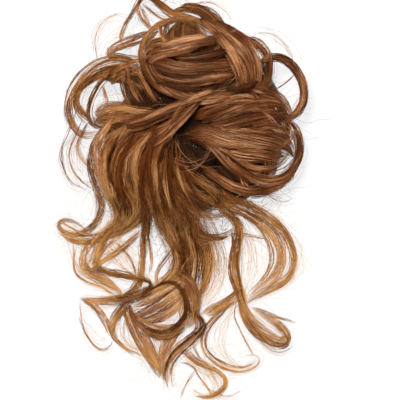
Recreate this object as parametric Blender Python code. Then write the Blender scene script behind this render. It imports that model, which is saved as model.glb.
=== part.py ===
"""Top knot hairpiece: a soft elastic ring with a padded roll of hair, laid loops and falling curled locks.

The piece lies on its back. +Z is up, +Y points from the curled ends to the top of the knot, and the
origin is under the middle of the whole piece. Sizes are in metres.

The locks are laid out on a square grid seen from above: "across" counts steps to the right and "down"
counts steps towards the curled ends. One step is GRID_STEP.
"""

import math

import bmesh
import bpy
import numpy as np
from mathutils import Vector

MM = 0.001
GRID_STEP = 0.65 * MM
ORIGIN_ACROSS = 181.35
ORIGIN_DOWN = 196.83
SEAT_GAP = 0.3 * MM

# Elastic ring: a relaxed oval, in the middle of the knot
RING_ACROSS = 178.0
RING_DOWN = 127.0
RING_TURN = math.radians(-52)
HOLE_LONG = 30.0 * MM
HOLE_SHORT = 18.0 * MM
WEFT_THICKNESS = 6.6 * MM
WEFT_HEIGHT = 12.0 * MM
ELASTIC_RADIUS = 2.0 * MM
ELASTIC_DEPTH = 4.6 * MM
ELASTIC_HEIGHT = 6.0 * MM
RING_STEPS = 36

# Hair roll: how far it reaches from the ring's middle and how high its crown is, by direction
ROLL_COLUMNS = ("degrees", "reach_mm", "crown_mm")
ROLL_ROWS = (
    (0, 65, 44),
    (30, 66, 46),
    (60, 62, 46),
    (90, 53, 41),
    (120, 45, 37),
    (150, 36, 29),
    (180, 43, 31),
    (210, 53, 33),
    (240, 61, 32),
    (270, 62, 29),
    (300, 58, 32),
    (330, 66, 39),
)
ROLL_SEAT = 0.42
ROLL_SQUARENESS = 0.75
ROLL_AROUND = 66
ROLL_SECTION = 12
RIDGE_COUNT = 22
RIDGE_SLANT = 2.0
RIDGE_DEPTH = 1.1 * MM
ROLL_FLOOR = 0.4 * MM
ROLL_OVERHANG = 1.8 * MM

# Locks: sides of a lock's section, how flat it is, and the length of one straight stretch
LOCK_SIDES = 6
LOCK_FLATNESS = 0.62
LOCK_STEP = 2.4 * MM
LOCK_STRETCH = 11.0 * MM
LOCK_BEND = math.radians(24)
LOCK_SINK = 0.35
SMOOTHING_PASSES = 8

# Each lock is a row of points from root to tip: across and down in grid steps, height above the
# surface that the piece lies on in millimetres, and width in grid steps.
LOCK_COLUMNS = ("across", "down", "height_mm", "width")
HAIR = {
    "crown_loops": {
        "ring_loop": (
            (170, 86, 40, 7), (153, 77, 46, 7), (143, 64, 47, 7), (143, 50, 46, 6), (150, 36, 43, 6),
            (163, 26, 40, 6), (178, 22, 38, 6), (192, 26, 37, 6), (203, 37, 38, 6),
        ),
        "ring_filling": ((168, 24, 39, 6), (165, 36, 36, 8), (170, 50, 44, 8)),
        "ring_filling_right": ((186, 22, 37, 6), (187, 35, 36, 8), (184, 48, 45, 8)),
        "apex_sweep": (
            (138, 9, 24, 4), (141, 0, 24, 5), (150, -2, 25, 7), (161, 6, 29, 9), (173, 15, 33, 10),
            (188, 20, 35, 10), (203, 26, 36, 9), (214, 37, 40, 8),
        ),
        "apex_left": (
            (141, 0, 24, 5), (134, 14, 25, 4), (126, 27, 27, 4), (122, 38, 28, 4), (122, 46, 28, 4),
        ),
        "apex_inner": ((137, 6, 24, 4), (141, 20, 29, 4), (150, 32, 40, 5)),
        "spike": (
            (152, 34, 41, 6), (138, 39, 36, 6), (124, 45, 30, 8), (112, 51, 27, 8), (109, 56, 26, 7),
            (118, 59, 28, 8), (131, 61, 33, 8), (144, 63, 44, 8),
        ),
        "top_edge": ((172, 13, 30, 6), (188, 10, 29, 9), (203, 15, 30, 10), (216, 27, 33, 10), (226, 40, 40, 9)),
    },
    "upper_waves": {
        "wave_top": (
            (146, 58, 50, 9), (160, 52, 54, 12), (180, 49, 56, 12), (200, 44, 54, 10), (219, 43, 50, 9),
        ),
        "wave_middle": (
            (146, 62, 50, 9), (160, 66, 54, 15), (180, 72, 56, 14), (208, 70, 55, 13), (237, 66, 51, 12),
        ),
        "wave_low": (
            (150, 72, 48, 9), (166, 80, 51, 11), (186, 84, 52, 11), (210, 81, 51, 11), (238, 76, 49, 12),
        ),
        "wave_bottom": (
            (160, 84, 44, 8), (173, 92, 47, 12), (188, 97, 48, 14), (205, 99, 48, 13), (222, 96, 48, 11),
            (240, 90, 45, 10),
        ),
        "sweep_inner": (
            (200, 20, 38, 9), (215, 32, 45, 15), (227, 46, 50, 17), (236, 62, 52, 17), (242, 78, 50, 16),
            (243, 93, 44, 12),
        ),
        "sweep_outer": (
            (209, 25, 37, 9), (230, 36, 42, 15), (246, 51, 47, 15), (253, 67, 48, 15), (254, 82, 46, 13),
            (247, 94, 42, 10),
        ),
        "sweep_edge": (
            (222, 31, 36, 8), (240, 37, 35, 8), (257, 46, 33, 8), (266, 57, 32, 9), (269, 71, 36, 9),
            (265, 86, 42, 9), (250, 97, 45, 9),
        ),
    },
    "right_loops": {
        "upper_loop": (
            (258, 68, 42, 7), (268, 60, 33, 8), (280, 60, 28, 9), (292, 69, 25, 10), (300, 82, 24, 10),
            (302, 97, 24, 10), (298, 110, 25, 10), (288, 119, 29, 10), (274, 122, 37, 9),
        ),
        "band_top": (
            (194, 120, 42, 9), (210, 113, 46, 12), (227, 106, 48, 13), (243, 101, 47, 12), (258, 104, 43, 10),
        ),
        "band_upper": (
            (206, 122, 44, 10), (226, 117, 47, 12), (246, 109, 47, 13), (266, 105, 43, 12), (283, 108, 34, 11),
        ),
        "band_middle": (
            (204, 130, 44, 9), (226, 127, 47, 11), (248, 121, 47, 12), (268, 116, 42, 12), (284, 120, 34, 11),
        ),
        "band_broad": (
            (186, 137, 40, 12), (206, 134, 45, 17), (228, 138, 48, 19), (250, 140, 47, 20), (270, 142, 41, 20),
            (286, 148, 31, 15), (293, 158, 24, 10),
        ),
        "band_low": ((224, 152, 46, 12), (246, 154, 46, 14), (266, 155, 41, 13), (284, 157, 31, 10)),
        "lower_loop": (
            (184, 131, 38, 8), (202, 141, 44, 11), (216, 151, 46, 11), (228, 164, 45, 12), (242, 173, 42, 12),
            (258, 180, 37, 12), (276, 180, 30, 10), (290, 171, 25, 9), (298, 157, 23, 9), (298, 141, 23, 9),
            (293, 127, 26, 9), (284, 119, 32, 8),
        ),
        "lower_edge": (
            (200, 166, 40, 8), (216, 177, 42, 10), (234, 187, 40, 11), (253, 192, 34, 11), (271, 189, 28, 10),
            (288, 178, 24, 9), (297, 163, 23, 9),
        ),
    },
    "cross_locks": {
        "long_cross": (
            (200, 101, 52, 8), (186, 106, 53, 10), (170, 112, 52, 12), (154, 119, 49, 13), (138, 125, 45, 13),
            (123, 127, 41, 12), (110, 124, 37, 11),
        ),
        "short_cross": (
            (200, 101, 51, 8), (190, 111, 51, 9), (180, 122, 50, 11), (168, 133, 48, 11), (156, 143, 45, 11),
            (146, 150, 41, 9),
        ),
    },
    "left_loops": {
        "outer_loop": (
            (140, 66, 42, 6), (121, 61, 34, 6), (103, 64, 28, 6), (90, 72, 24, 6), (80, 83, 21, 6),
            (73, 96, 19, 6), (70, 110, 18, 6), (72, 122, 18, 6), (79, 133, 20, 7), (92, 135, 26, 8),
            (104, 131, 31, 8),
        ),
        "middle_loop": (
            (134, 70, 40, 8), (116, 70, 34, 9), (101, 76, 29, 9), (87, 84, 25, 8), (79, 94, 22, 6),
            (78, 105, 21, 6), (85, 115, 24, 6), (95, 124, 28, 6),
        ),
        "inner_loop": (
            (118, 72, 36, 6), (106, 80, 33, 7), (98, 91, 30, 6), (92, 103, 28, 6), (90, 116, 27, 6),
            (95, 126, 28, 6), (105, 128, 31, 6),
        ),
        "hole_top": ((104, 80, 33, 8), (118, 78, 36, 12), (131, 83, 38, 12), (137, 95, 38, 10), (135, 107, 37, 10)),
        "lobe_top": ((136, 108, 37, 10), (121, 108, 38, 12), (107, 110, 36, 14), (96, 117, 32, 12)),
        "lobe_low": ((96, 117, 32, 12), (101, 125, 32, 13), (114, 124, 37, 14), (130, 120, 40, 12)),
    },
    "left_fall": {
        "fall_outer": (
            (104, 131, 34, 9), (95, 146, 31, 9), (92, 162, 28, 9), (95, 178, 22, 10), (100, 194, 13, 10),
            (101, 208, 6, 9), (98, 220, 4, 8), (89, 230, 4, 7), (76, 235, 4, 6), (64, 232, 5, 5), (58, 225, 6, 4),
            (64, 220, 7, 4), (75, 222, 7, 4), (86, 229, 6, 4),
        ),
        "fall_upper": (
            (120, 131, 38, 12), (108, 145, 36, 12), (103, 161, 34, 12), (106, 178, 28, 12), (113, 194, 18, 11),
            (119, 208, 9, 10), (117, 220, 5, 9), (106, 231, 4, 9), (92, 236, 4, 8),
        ),
        "fall_inner": (
            (136, 136, 41, 12), (124, 149, 37, 12), (117, 165, 35, 12), (119, 182, 30, 12), (125, 198, 20, 12),
            (128, 212, 11, 11), (121, 224, 6, 10), (108, 232, 4, 9),
        ),
        "fall_curl": (
            (146, 214, 12, 9), (134, 221, 8, 10), (119, 230, 5, 10), (102, 237, 4, 10), (84, 240, 4, 9),
            (70, 237, 4, 8), (60, 229, 5, 5),
        ),
    },
    "centre_fall": {
        "fall_straight": (
            (152, 150, 41, 11), (142, 164, 38, 12), (138, 182, 34, 13), (141, 200, 26, 13), (145, 217, 15, 12),
            (144, 235, 6, 8), (143, 252, 4, 6), (142, 268, 4, 6), (140, 281, 5, 7), (131, 292, 5, 8),
            (117, 298, 4, 7), (100, 299, 4, 6), (84, 298, 4, 5),
        ),
        "tail_left": (
            (160, 150, 40, 11), (154, 168, 37, 13), (155, 187, 33, 14), (160, 206, 26, 15), (168, 225, 16, 16),
            (178, 244, 8, 15), (184, 262, 5, 13), (178, 277, 6, 12), (164, 287, 6, 11), (148, 295, 6, 10),
            (134, 303, 5, 9),
        ),
        "tail_right": (
            (172, 160, 37, 11), (174, 180, 34, 15), (181, 200, 28, 17), (188, 219, 19, 18), (196, 238, 10, 17),
            (203, 256, 5, 15), (205, 274, 4, 14), (201, 292, 5, 12), (192, 307, 6, 10),
        ),
        "tail_core": (
            (163, 160, 36, 12), (165, 182, 31, 15), (171, 204, 25, 17), (180, 225, 15, 18), (188, 246, 7, 16),
            (190, 266, 5, 14), (187, 284, 5, 13), (187, 302, 6, 11),
        ),
        "elbow": (
            (184, 303, 8, 9), (196, 313, 8, 8), (204, 323, 8, 8), (198, 335, 6, 9), (185, 346, 5, 10),
            (173, 357, 4, 10), (166, 370, 4, 8), (168, 387, 3, 4),
        ),
        "under_hole": (
            (194, 216, 22, 8), (192, 228, 16, 8), (202, 236, 13, 9), (216, 239, 11, 9), (229, 236, 10, 8),
        ),
    },
    "tail_curls": {
        "ring_curl": (
            (172, 282, 7, 10), (183, 293, 8, 10), (187, 307, 8, 10), (182, 321, 7, 10), (168, 328, 6, 10),
            (152, 326, 5, 9), (138, 318, 5, 9), (130, 307, 5, 8),
        ),
        "low_left": (
            (128, 304, 4, 9), (133, 322, 4, 11), (142, 339, 4, 13), (151, 354, 4, 11), (158, 367, 4, 8),
            (162, 375, 3, 4),
        ),
        "low_fill": ((182, 322, 6, 11), (172, 335, 5, 13), (160, 348, 4, 13), (155, 360, 4, 9)),
    },
    "left_ringlets": {
        "ringlet_top": (
            (108, 230, 8, 7), (102, 249, 8, 7), (96, 264, 8, 7), (108, 272, 8, 7), (124, 275, 9, 8),
            (140, 278, 10, 8), (151, 281, 10, 8), (151, 288, 9, 7),
        ),
        "ringlet_left": (
            (90, 237, 7, 6), (80, 253, 7, 6), (81, 266, 7, 6), (92, 275, 7, 6), (106, 283, 6, 6), (118, 292, 8, 6),
        ),
        "ringlet_cross": ((140, 232, 14, 5), (127, 244, 10, 5), (112, 255, 9, 5), (97, 264, 8, 5), (85, 270, 7, 5)),
    },
    "lower_ringlets": {
        "long_left": (
            (80, 297, 5, 5), (94, 305, 5, 5), (102, 314, 4, 4), (108, 325, 4, 4), (112, 336, 4, 4),
            (122, 346, 4, 4), (134, 354, 3, 4),
        ),
        "short_left": ((131, 305, 6, 6), (119, 315, 6, 6), (113, 326, 4, 5), (112, 336, 4, 5)),
    },
    "right_tendril": {
        "tendril": (
            (208, 192, 31, 8), (222, 210, 25, 8), (233, 218, 19, 8), (239, 229, 14, 9), (237, 244, 9, 10), (234, 259, 6, 10),
            (234, 273, 5, 10), (237, 286, 5, 9), (242, 298, 6, 9), (243, 309, 7, 9), (249, 321, 7, 10),
            (260, 332, 8, 12), (273, 340, 9, 13), (283, 341, 11, 11), (286, 334, 13, 8), (278, 325, 14, 8),
            (266, 316, 13, 7), (255, 309, 11, 6),
        ),
        "branch": ((239, 291, 6, 8), (230, 302, 5, 9), (217, 310, 5, 9), (207, 315, 4, 8)),
        "thin_curl": (
            (230, 303, 5, 5), (215, 318, 4, 5), (206, 331, 3, 5), (204, 345, 3, 5), (211, 357, 3, 5),
            (224, 366, 3, 5), (240, 369, 3, 5), (252, 365, 4, 4), (258, 359, 5, 4),
        ),
    },
    "outer_tendril": {
        "outer_sweep": (
            (220, 186, 33, 8), (235, 199, 28, 9), (251, 208, 21, 9), (267, 218, 14, 8), (281, 231, 8, 7),
            (290, 246, 5, 6), (293, 262, 4, 6), (288, 276, 4, 7), (276, 285, 4, 8), (262, 292, 5, 8),
            (252, 298, 6, 8), (244, 304, 7, 6),
        ),
        "inner_sweep": (
            (214, 190, 32, 8), (230, 206, 27, 8), (247, 214, 18, 8), (262, 224, 11, 8), (273, 237, 6, 8), (279, 251, 4, 8),
            (279, 265, 4, 8), (272, 277, 4, 8), (262, 286, 4, 8), (252, 294, 4, 7),
        ),
    },
    "lowest_ringlet": {
        "hook": (
            (184, 348, 6, 6), (194, 360, 5, 6), (206, 367, 4, 6), (218, 373, 4, 6), (225, 381, 4, 5),
            (220, 391, 4, 4), (208, 397, 4, 4), (196, 396, 3, 4),
        ),
    },
}

FINISHES = {
    "elastic": ((0.012, 0.010, 0.010), 0.75),
    "weft": ((0.075, 0.030, 0.014), 0.70),
    "roll": ((0.130, 0.052, 0.022), 0.55),
    "hair": ((0.300, 0.125, 0.045), 0.42),
    "tips": ((0.420, 0.200, 0.080), 0.42),
}
FALLING = ("left_fall", "left_ringlets", "lower_ringlets", "right_tendril", "outer_tendril", "lowest_ringlet")
# From the lowest laid to the topmost: each is trimmed where it meets those before it
LAYING_ORDER = (
    "right_loops",
    "upper_waves",
    "crown_loops",
    "left_loops",
    "centre_fall",
    "tail_curls",
    "left_fall",
    "cross_locks",
    "outer_tendril",
    "right_tendril",
    "left_ringlets",
    "lower_ringlets",
    "lowest_ringlet",
)


def clear_scene():
    for obj in list(bpy.data.objects):
        bpy.data.objects.remove(obj)


def collection(name):
    made = bpy.data.collections.new(name)
    bpy.context.scene.collection.children.link(made)
    return made


def finish(name):
    """The material of one finish."""
    colour, roughness = FINISHES[name]
    material = bpy.data.materials.get(name) or bpy.data.materials.new(name)
    material.use_nodes = True
    shader = material.node_tree.nodes["Principled BSDF"]
    shader.inputs["Base Color"].default_value = (*colour, 1)
    shader.inputs["Roughness"].default_value = roughness
    material.diffuse_color = (*colour, 1)
    return material


def placed(across, down, height):
    """A grid point and a height in metres, as x, y, z."""
    return Vector(((across - ORIGIN_ACROSS) * GRID_STEP, (ORIGIN_DOWN - down) * GRID_STEP, height))


def ring_middle():
    return placed(RING_ACROSS, RING_DOWN, 0)


def hole_radius(angle):
    """How far the roll's inner wall is from the middle, in a direction."""
    turned = angle - RING_TURN
    along = HOLE_LONG - ROLL_OVERHANG
    aside = HOLE_SHORT - ROLL_OVERHANG
    return 1 / math.hypot(math.cos(turned) / along, math.sin(turned) / aside)


def roll_value(angle, column):
    """A smooth value between the rows of ROLL_ROWS, which go once round."""
    index = ROLL_COLUMNS.index(column)
    place = (math.degrees(angle) % 360) / 360 * len(ROLL_ROWS)
    first = math.floor(place)
    part = place - first
    before, here, after, later = (ROLL_ROWS[(first + k) % len(ROLL_ROWS)][index] for k in (-1, 0, 1, 2))
    return MM * catmull(before, here, after, later, part)


def catmull(before, here, after, later, part):
    """A value on the smooth curve from here to after."""
    slope_here = (after - before) / 2
    slope_after = (later - here) / 2
    rise = after - here
    bend = 3 * rise - 2 * slope_here - slope_after
    turn = slope_here + slope_after - 2 * rise
    return here + part * (slope_here + part * (bend + part * turn))


def roll_shape(angle):
    """Middle radius, half width, crown height and seat height of the roll in a direction."""
    inner = hole_radius(angle)
    outer = roll_value(angle, "reach_mm")
    crown = roll_value(angle, "crown_mm")
    return (inner + outer) / 2, (outer - inner) / 2, crown, crown * ROLL_SEAT


def squared(value):
    """A sine or cosine pulled towards 1, which squares off a round section."""
    return math.copysign(abs(value) ** ROLL_SQUARENESS, value)


def roll_point(angle, turn, swell):
    """A point on the roll's skin: angle goes round the ring, turn round the roll's section."""
    middle, half, crown, seat = roll_shape(angle)
    out, up = math.cos(turn), math.sin(turn)
    radius = middle + half * squared(out)
    rise = crown - seat if up > 0 else seat
    height = seat + rise * squared(up)
    if out < 0 and up < 0:
        radius = middle - half
    exposed = max(0.0, 0.35 + 0.65 * up) if out < 0 else 1.0
    ridge = RIDGE_DEPTH * exposed * math.cos(RIDGE_COUNT * angle + RIDGE_SLANT * turn)
    radius += (ridge + swell) * out
    height += (ridge + swell) * up
    floor = ROLL_FLOOR - swell
    return ring_middle() + Vector((radius * math.cos(angle), radius * math.sin(angle), max(height, floor)))


def roll_top(point):
    """The height of the roll's skin under a point, or 0 where the point is beside the roll."""
    offset = point - ring_middle()
    angle = math.atan2(offset.y, offset.x)
    middle, half, crown, seat = roll_shape(angle)
    out = abs(math.hypot(offset.x, offset.y) - middle) / half
    if out >= 1:
        return 0.0
    out = out ** (1 / ROLL_SQUARENESS)
    return seat + (crown - seat) * squared(math.sqrt(1 - out * out))


def mesh_object(name, mesh, home, material):
    obj = bpy.data.objects.new(name, mesh)
    home.objects.link(obj)
    if material:
        mesh.materials.clear()
        mesh.materials.append(finish(material))
    return obj


def shade(obj):
    obj.data.shade_smooth()
    obj.data.set_sharp_from_angle(angle=math.radians(50))


def make_roll(name, home, material, swell=0.0):
    """The padded roll: a closed loft of unlike sections round the ring."""
    made = bmesh.new()
    rings = []
    for step in range(ROLL_AROUND):
        angle = 2 * math.pi * step / ROLL_AROUND
        turns = (2 * math.pi * k / ROLL_SECTION for k in range(ROLL_SECTION))
        rings.append([made.verts.new(roll_point(angle, turn, swell)) for turn in turns])
    for step, ring in enumerate(rings):
        following = rings[(step + 1) % ROLL_AROUND]
        for k in range(ROLL_SECTION):
            after = (k + 1) % ROLL_SECTION
            made.faces.new((ring[k], following[k], following[after]))
            made.faces.new((ring[k], following[after], ring[after]))
    bmesh.ops.recalc_face_normals(made, faces=made.faces)
    mesh = bpy.data.meshes.new(name)
    made.to_mesh(mesh)
    made.free()
    return mesh_object(name, mesh, home, material)


def oval_points(inset, height):
    """Points of an oval that lies inset from the hole's wall."""
    points = []
    for step in range(RING_STEPS):
        angle = 2 * math.pi * step / RING_STEPS
        along = (HOLE_LONG - inset) * math.cos(angle)
        aside = (HOLE_SHORT - inset) * math.sin(angle)
        x = along * math.cos(RING_TURN) - aside * math.sin(RING_TURN)
        y = along * math.sin(RING_TURN) + aside * math.cos(RING_TURN)
        points.append(ring_middle() + Vector((x, y, height)))
    return points


def poly_curve(name, points, radii, cyclic):
    """A POLY curve through points, kept level by twisting it about Z."""
    curve = bpy.data.curves.new(name, "CURVE")
    curve.dimensions = "3D"
    curve.twist_mode = "Z_UP"
    curve.use_fill_caps = not cyclic
    spline = curve.splines.new("POLY")
    spline.points.add(len(points) - 1)
    for target, point, radius in zip(spline.points, points, radii):
        target.co = (*point, 1)
        target.radius = radius
    spline.use_cyclic_u = cyclic
    return curve


def section_object(name, outline, home):
    """A flat closed outline that a curve carries along as its section."""
    curve = bpy.data.curves.new(name, "CURVE")
    curve.dimensions = "2D"
    spline = curve.splines.new("POLY")
    spline.points.add(len(outline) - 1)
    for target, (x, y) in zip(spline.points, outline):
        target.co = (x, y, 0, 1)
    spline.use_cyclic_u = True
    obj = bpy.data.objects.new(name, curve)
    obj.hide_render = True
    obj.display_type = "WIRE"
    home.objects.link(obj)
    return obj


def solid_from_curve(name, curve, home, material):
    """The closed mesh of a curve object, whose caps are welded to its sides."""
    carrier = bpy.data.objects.new(name + ".curve", curve)
    home.objects.link(carrier)
    bpy.context.view_layer.update()
    graph = bpy.context.evaluated_depsgraph_get()
    mesh = bpy.data.meshes.new_from_object(carrier.evaluated_get(graph))
    bpy.data.objects.remove(carrier)
    made = bmesh.new()
    made.from_mesh(mesh)
    bmesh.ops.remove_doubles(made, verts=made.verts, dist=0.01 * MM)
    bmesh.ops.triangulate(made, faces=made.faces, quad_method="FIXED")
    bmesh.ops.recalc_face_normals(made, faces=made.faces)
    made.to_mesh(mesh)
    made.free()
    mesh.name = name
    return mesh_object(name, mesh, home, material)


def make_elastic(home):
    points = oval_points(ELASTIC_DEPTH, ELASTIC_HEIGHT)
    curve = poly_curve("elastic_band", points, [1.0] * len(points), True)
    curve.bevel_depth = ELASTIC_RADIUS
    curve.bevel_resolution = 1
    elastic = solid_from_curve("elastic_band", curve, home, "elastic")
    shade(elastic)
    return elastic


def weft_outline():
    """The weft ring's C-shaped section, open towards the hole, with the elastic in its groove.

    It is drawn about the elastic's middle: x runs out from the hole, y runs up.
    """
    groove = ELASTIC_RADIUS + SEAT_GAP
    outer = ELASTIC_DEPTH - SEAT_GAP
    lip = outer - WEFT_THICKNESS
    low = -ELASTIC_HEIGHT
    high = WEFT_HEIGHT - ELASTIC_HEIGHT
    return (
        (lip, low),
        (outer, low),
        (outer, high),
        (lip, high),
        (lip, groove),
        (groove * 0.7, groove),
        (groove * 1.2, groove * 0.5),
        (groove * 1.2, -groove * 0.5),
        (groove * 0.7, -groove),
        (lip, -groove),
    )


def weft_seat_outline():
    """The section of the recess that the roll leaves for the weft ring."""
    outer = ELASTIC_DEPTH
    low = -ELASTIC_HEIGHT - WEFT_THICKNESS
    high = WEFT_HEIGHT - ELASTIC_HEIGHT + SEAT_GAP
    inner = outer - 1.5 * WEFT_THICKNESS
    return (inner, low), (outer, low), (outer, high), (inner, high)


def swept_ring(name, outline, home, guides, material=None):
    """A section carried once round the oval of the elastic."""
    points = oval_points(ELASTIC_DEPTH, ELASTIC_HEIGHT)
    curve = poly_curve(name, points, [1.0] * len(points), True)
    curve.bevel_mode = "OBJECT"
    curve.bevel_object = section_object(name + "_section", outline, guides)
    return solid_from_curve(name, curve, home, material)


def make_weft(home, guides):
    weft = swept_ring("weft_ring", weft_outline(), home, guides, "weft")
    shade(weft)
    return weft


def smooth_points(rows):
    """Evenly spaced points of the curve through a lock's rows, as x, y, z and half width in metres."""
    knots = []
    for across, down, height, width in rows:
        knots.append((*placed(across, down, height * MM), width * GRID_STEP / 2))
    knots = np.array([2 * np.array(knots[0]) - knots[1], *knots, 2 * np.array(knots[-1]) - knots[-2]])
    fine = []
    for k in range(1, len(knots) - 2):
        fine += [catmull(*knots[k - 1 : k + 3], part / 12) for part in range(12)]
    fine = np.array([*fine, knots[-2]])
    run = np.concatenate([[0], np.cumsum(np.linalg.norm(np.diff(fine[:, :3], axis=0), axis=1))])
    count = max(4, round(run[-1] / LOCK_STEP) + 1)
    marks = np.linspace(0, run[-1], count)
    return np.array([np.interp(marks, run, fine[:, k]) for k in range(4)]).T


def laid_points(rows):
    """A lock's points, raised where needed to lie on the roll or on the surface below."""
    points = smooth_points(rows)
    for point in points:
        thickness = point[3] * LOCK_FLATNESS
        carried = roll_top(Vector(point[:3]))
        rest = carried + LOCK_SINK * thickness if carried else thickness
        point[2] = max(point[2], rest)
    for _ in range(SMOOTHING_PASSES):
        inner = points[1:-1, 2]
        points[1:-1, 2] = (points[:-2, 2] + 2 * inner + points[2:, 2]) / 4
    points[:, 2] = np.maximum(points[:, 2], points[:, 3] * LOCK_FLATNESS + 0.05 * MM)
    return thinned(points)


def thinned(points):
    """Keeps a point where the path has bent or run far enough since the last one kept."""
    kept = [0]
    bend = 0.0
    for k in range(1, len(points) - 1):
        before = Vector(points[k, :3]) - Vector(points[k - 1, :3])
        after = Vector(points[k + 1, :3]) - Vector(points[k, :3])
        bend += before.angle(after)
        if bend >= LOCK_BEND or (k - kept[-1]) * LOCK_STEP >= LOCK_STRETCH:
            kept.append(k)
            bend = 0.0
    return points[[*kept, len(points) - 1]]


def lock_section(home):
    outline = []
    for side in range(LOCK_SIDES):
        angle = 2 * math.pi * (side + 0.5) / LOCK_SIDES
        outline.append((math.cos(angle), LOCK_FLATNESS * math.sin(angle)))
    return section_object("lock_section", outline, home)


def make_lock(name, rows, section, home, material=None, swell=0.0):
    """One lock: a flattened section carried along its laid points."""
    points = laid_points(rows)
    radii = [float(point[3]) + swell for point in points]
    curve = poly_curve(name, [Vector(point[:3]) for point in points], radii, False)
    curve.bevel_mode = "OBJECT"
    curve.bevel_object = section
    return solid_from_curve(name, curve, home, material)


def combine(obj, others, operation):
    """Joins the others to obj, or cuts them from it, and removes them."""
    helpers = collection("helpers")
    for other in others:
        helpers.objects.link(other)
    modifier = obj.modifiers.new(operation.lower(), "BOOLEAN")
    modifier.operation = operation
    modifier.solver = "EXACT"
    modifier.use_self = True
    modifier.operand_type = "COLLECTION"
    modifier.collection = helpers
    bpy.context.view_layer.update()
    graph = bpy.context.evaluated_depsgraph_get()
    mesh = bpy.data.meshes.new_from_object(obj.evaluated_get(graph))
    obj.modifiers.clear()
    obj.data = mesh
    for other in others:
        bpy.data.objects.remove(other)
    bpy.data.collections.remove(helpers)


def bodies(made):
    """The groups of faces of a bmesh that join edge to edge."""
    left = set(made.faces)
    found = []
    while left:
        start = left.pop()
        group, waiting = {start}, [start]
        while waiting:
            face = waiting.pop()
            for edge in face.edges:
                for other in edge.link_faces:
                    if len(edge.link_faces) == 2 and other not in group:
                        group.add(other)
                        waiting.append(other)
        left -= group
        found.append(group)
    return sorted(found, key=len)


def drop_offcuts(obj):
    """Keeps an object's largest body and drops the offcuts that trimming left."""
    made = bmesh.new()
    made.from_mesh(obj.data)
    for group in bodies(made)[:-1]:
        bmesh.ops.delete(made, geom=list(group), context="FACES")
    made.to_mesh(obj.data)
    made.free()


def make_section_of_hair(name, section, home, guides):
    """One node: its locks fused, then trimmed where they meet the roll and the hair laid before."""
    material = "tips" if name in FALLING else "hair"
    locks = [
        make_lock(f"{name}.{lock}", rows, section, guides if k else home, material)
        for k, (lock, rows) in enumerate(HAIR[name].items())
    ]
    made, others = locks[0], locks[1:]
    made.name = name
    if others:
        combine(made, others, "UNION")
    cutters = [make_roll("swollen_roll", guides, None, SEAT_GAP)]
    for earlier in LAYING_ORDER[: LAYING_ORDER.index(name)]:
        for lock, rows in HAIR[earlier].items():
            cutters.append(make_lock(f"swollen_{lock}", rows, section, guides, None, 1.4 * SEAT_GAP))
    combine(made, cutters, "DIFFERENCE")
    drop_offcuts(made)
    shade(made)
    return made


def main():
    clear_scene()
    parts = collection("top_knot_hairpiece")
    guides = collection("guides")
    guides.hide_render = True
    make_elastic(parts)
    make_weft(parts, guides)
    roll = make_roll("hair_roll", parts, "roll")
    combine(roll, [swept_ring("weft_seat", weft_seat_outline(), guides, guides)], "DIFFERENCE")
    shade(roll)
    section = lock_section(guides)
    for name in LAYING_ORDER:
        make_section_of_hair(name, section, parts, guides)


main()
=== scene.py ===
"""Top knot hairpiece: combed locks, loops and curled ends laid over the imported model.

The piece lies on its back on a pale table and is seen from straight above. The locks are laid out on a
square grid: "across" counts steps to the right and "down" counts steps towards the curled ends.
"""

import logging
import math
from dataclasses import dataclass, field
from enum import Enum

import bpy
import numpy as np
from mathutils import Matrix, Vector


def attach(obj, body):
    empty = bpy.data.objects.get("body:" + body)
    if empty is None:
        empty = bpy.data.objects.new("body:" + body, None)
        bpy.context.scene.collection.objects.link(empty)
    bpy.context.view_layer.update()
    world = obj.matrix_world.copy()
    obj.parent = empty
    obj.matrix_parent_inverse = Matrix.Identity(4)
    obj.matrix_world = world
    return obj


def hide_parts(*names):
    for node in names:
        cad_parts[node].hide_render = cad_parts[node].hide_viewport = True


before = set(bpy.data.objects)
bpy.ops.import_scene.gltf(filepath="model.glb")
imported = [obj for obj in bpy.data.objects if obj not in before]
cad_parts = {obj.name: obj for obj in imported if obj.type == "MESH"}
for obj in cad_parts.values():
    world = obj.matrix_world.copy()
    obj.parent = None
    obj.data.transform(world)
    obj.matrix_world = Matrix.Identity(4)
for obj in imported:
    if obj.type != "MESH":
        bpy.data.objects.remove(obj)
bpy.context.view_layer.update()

LOG = logging.getLogger("top_knot")
MM = 0.001
UPWARD = (0.0, 0.0, 1.0)
# The least gap between a laid strand and the table
CLEARANCE = 0.15 * MM
Array = np.ndarray
Chance = np.random.Generator
Colour = tuple[float, float, float]
Rows = list[list[float]]
Material = bpy.types.Material
Socket = bpy.types.NodeSocket

# Direction from the ring's middle, how far the roll reaches there and how high its crown is
ROLL_COLUMNS = ("degrees", "reach_mm", "crown_mm")
ROLL_ROWS = (
    (0, 65, 44),
    (30, 66, 46),
    (60, 62, 46),
    (90, 53, 41),
    (120, 45, 37),
    (150, 36, 29),
    (180, 43, 31),
    (210, 53, 33),
    (240, 61, 32),
    (270, 62, 29),
    (300, 58, 32),
    (330, 66, 39),
)

# A lock's places run from root to tip: across and down in grid steps, height above the surface that
# the piece lies on in millimetres, and width in grid steps.
LOCK_COLUMNS = ("across", "down", "height_mm", "width")


def rows_of(numbers: list[str], columns: tuple[str, ...]) -> Rows:
    """Parts numbers into rows, with a number for each column."""
    return np.array(numbers, float).reshape(-1, len(columns)).tolist()


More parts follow.
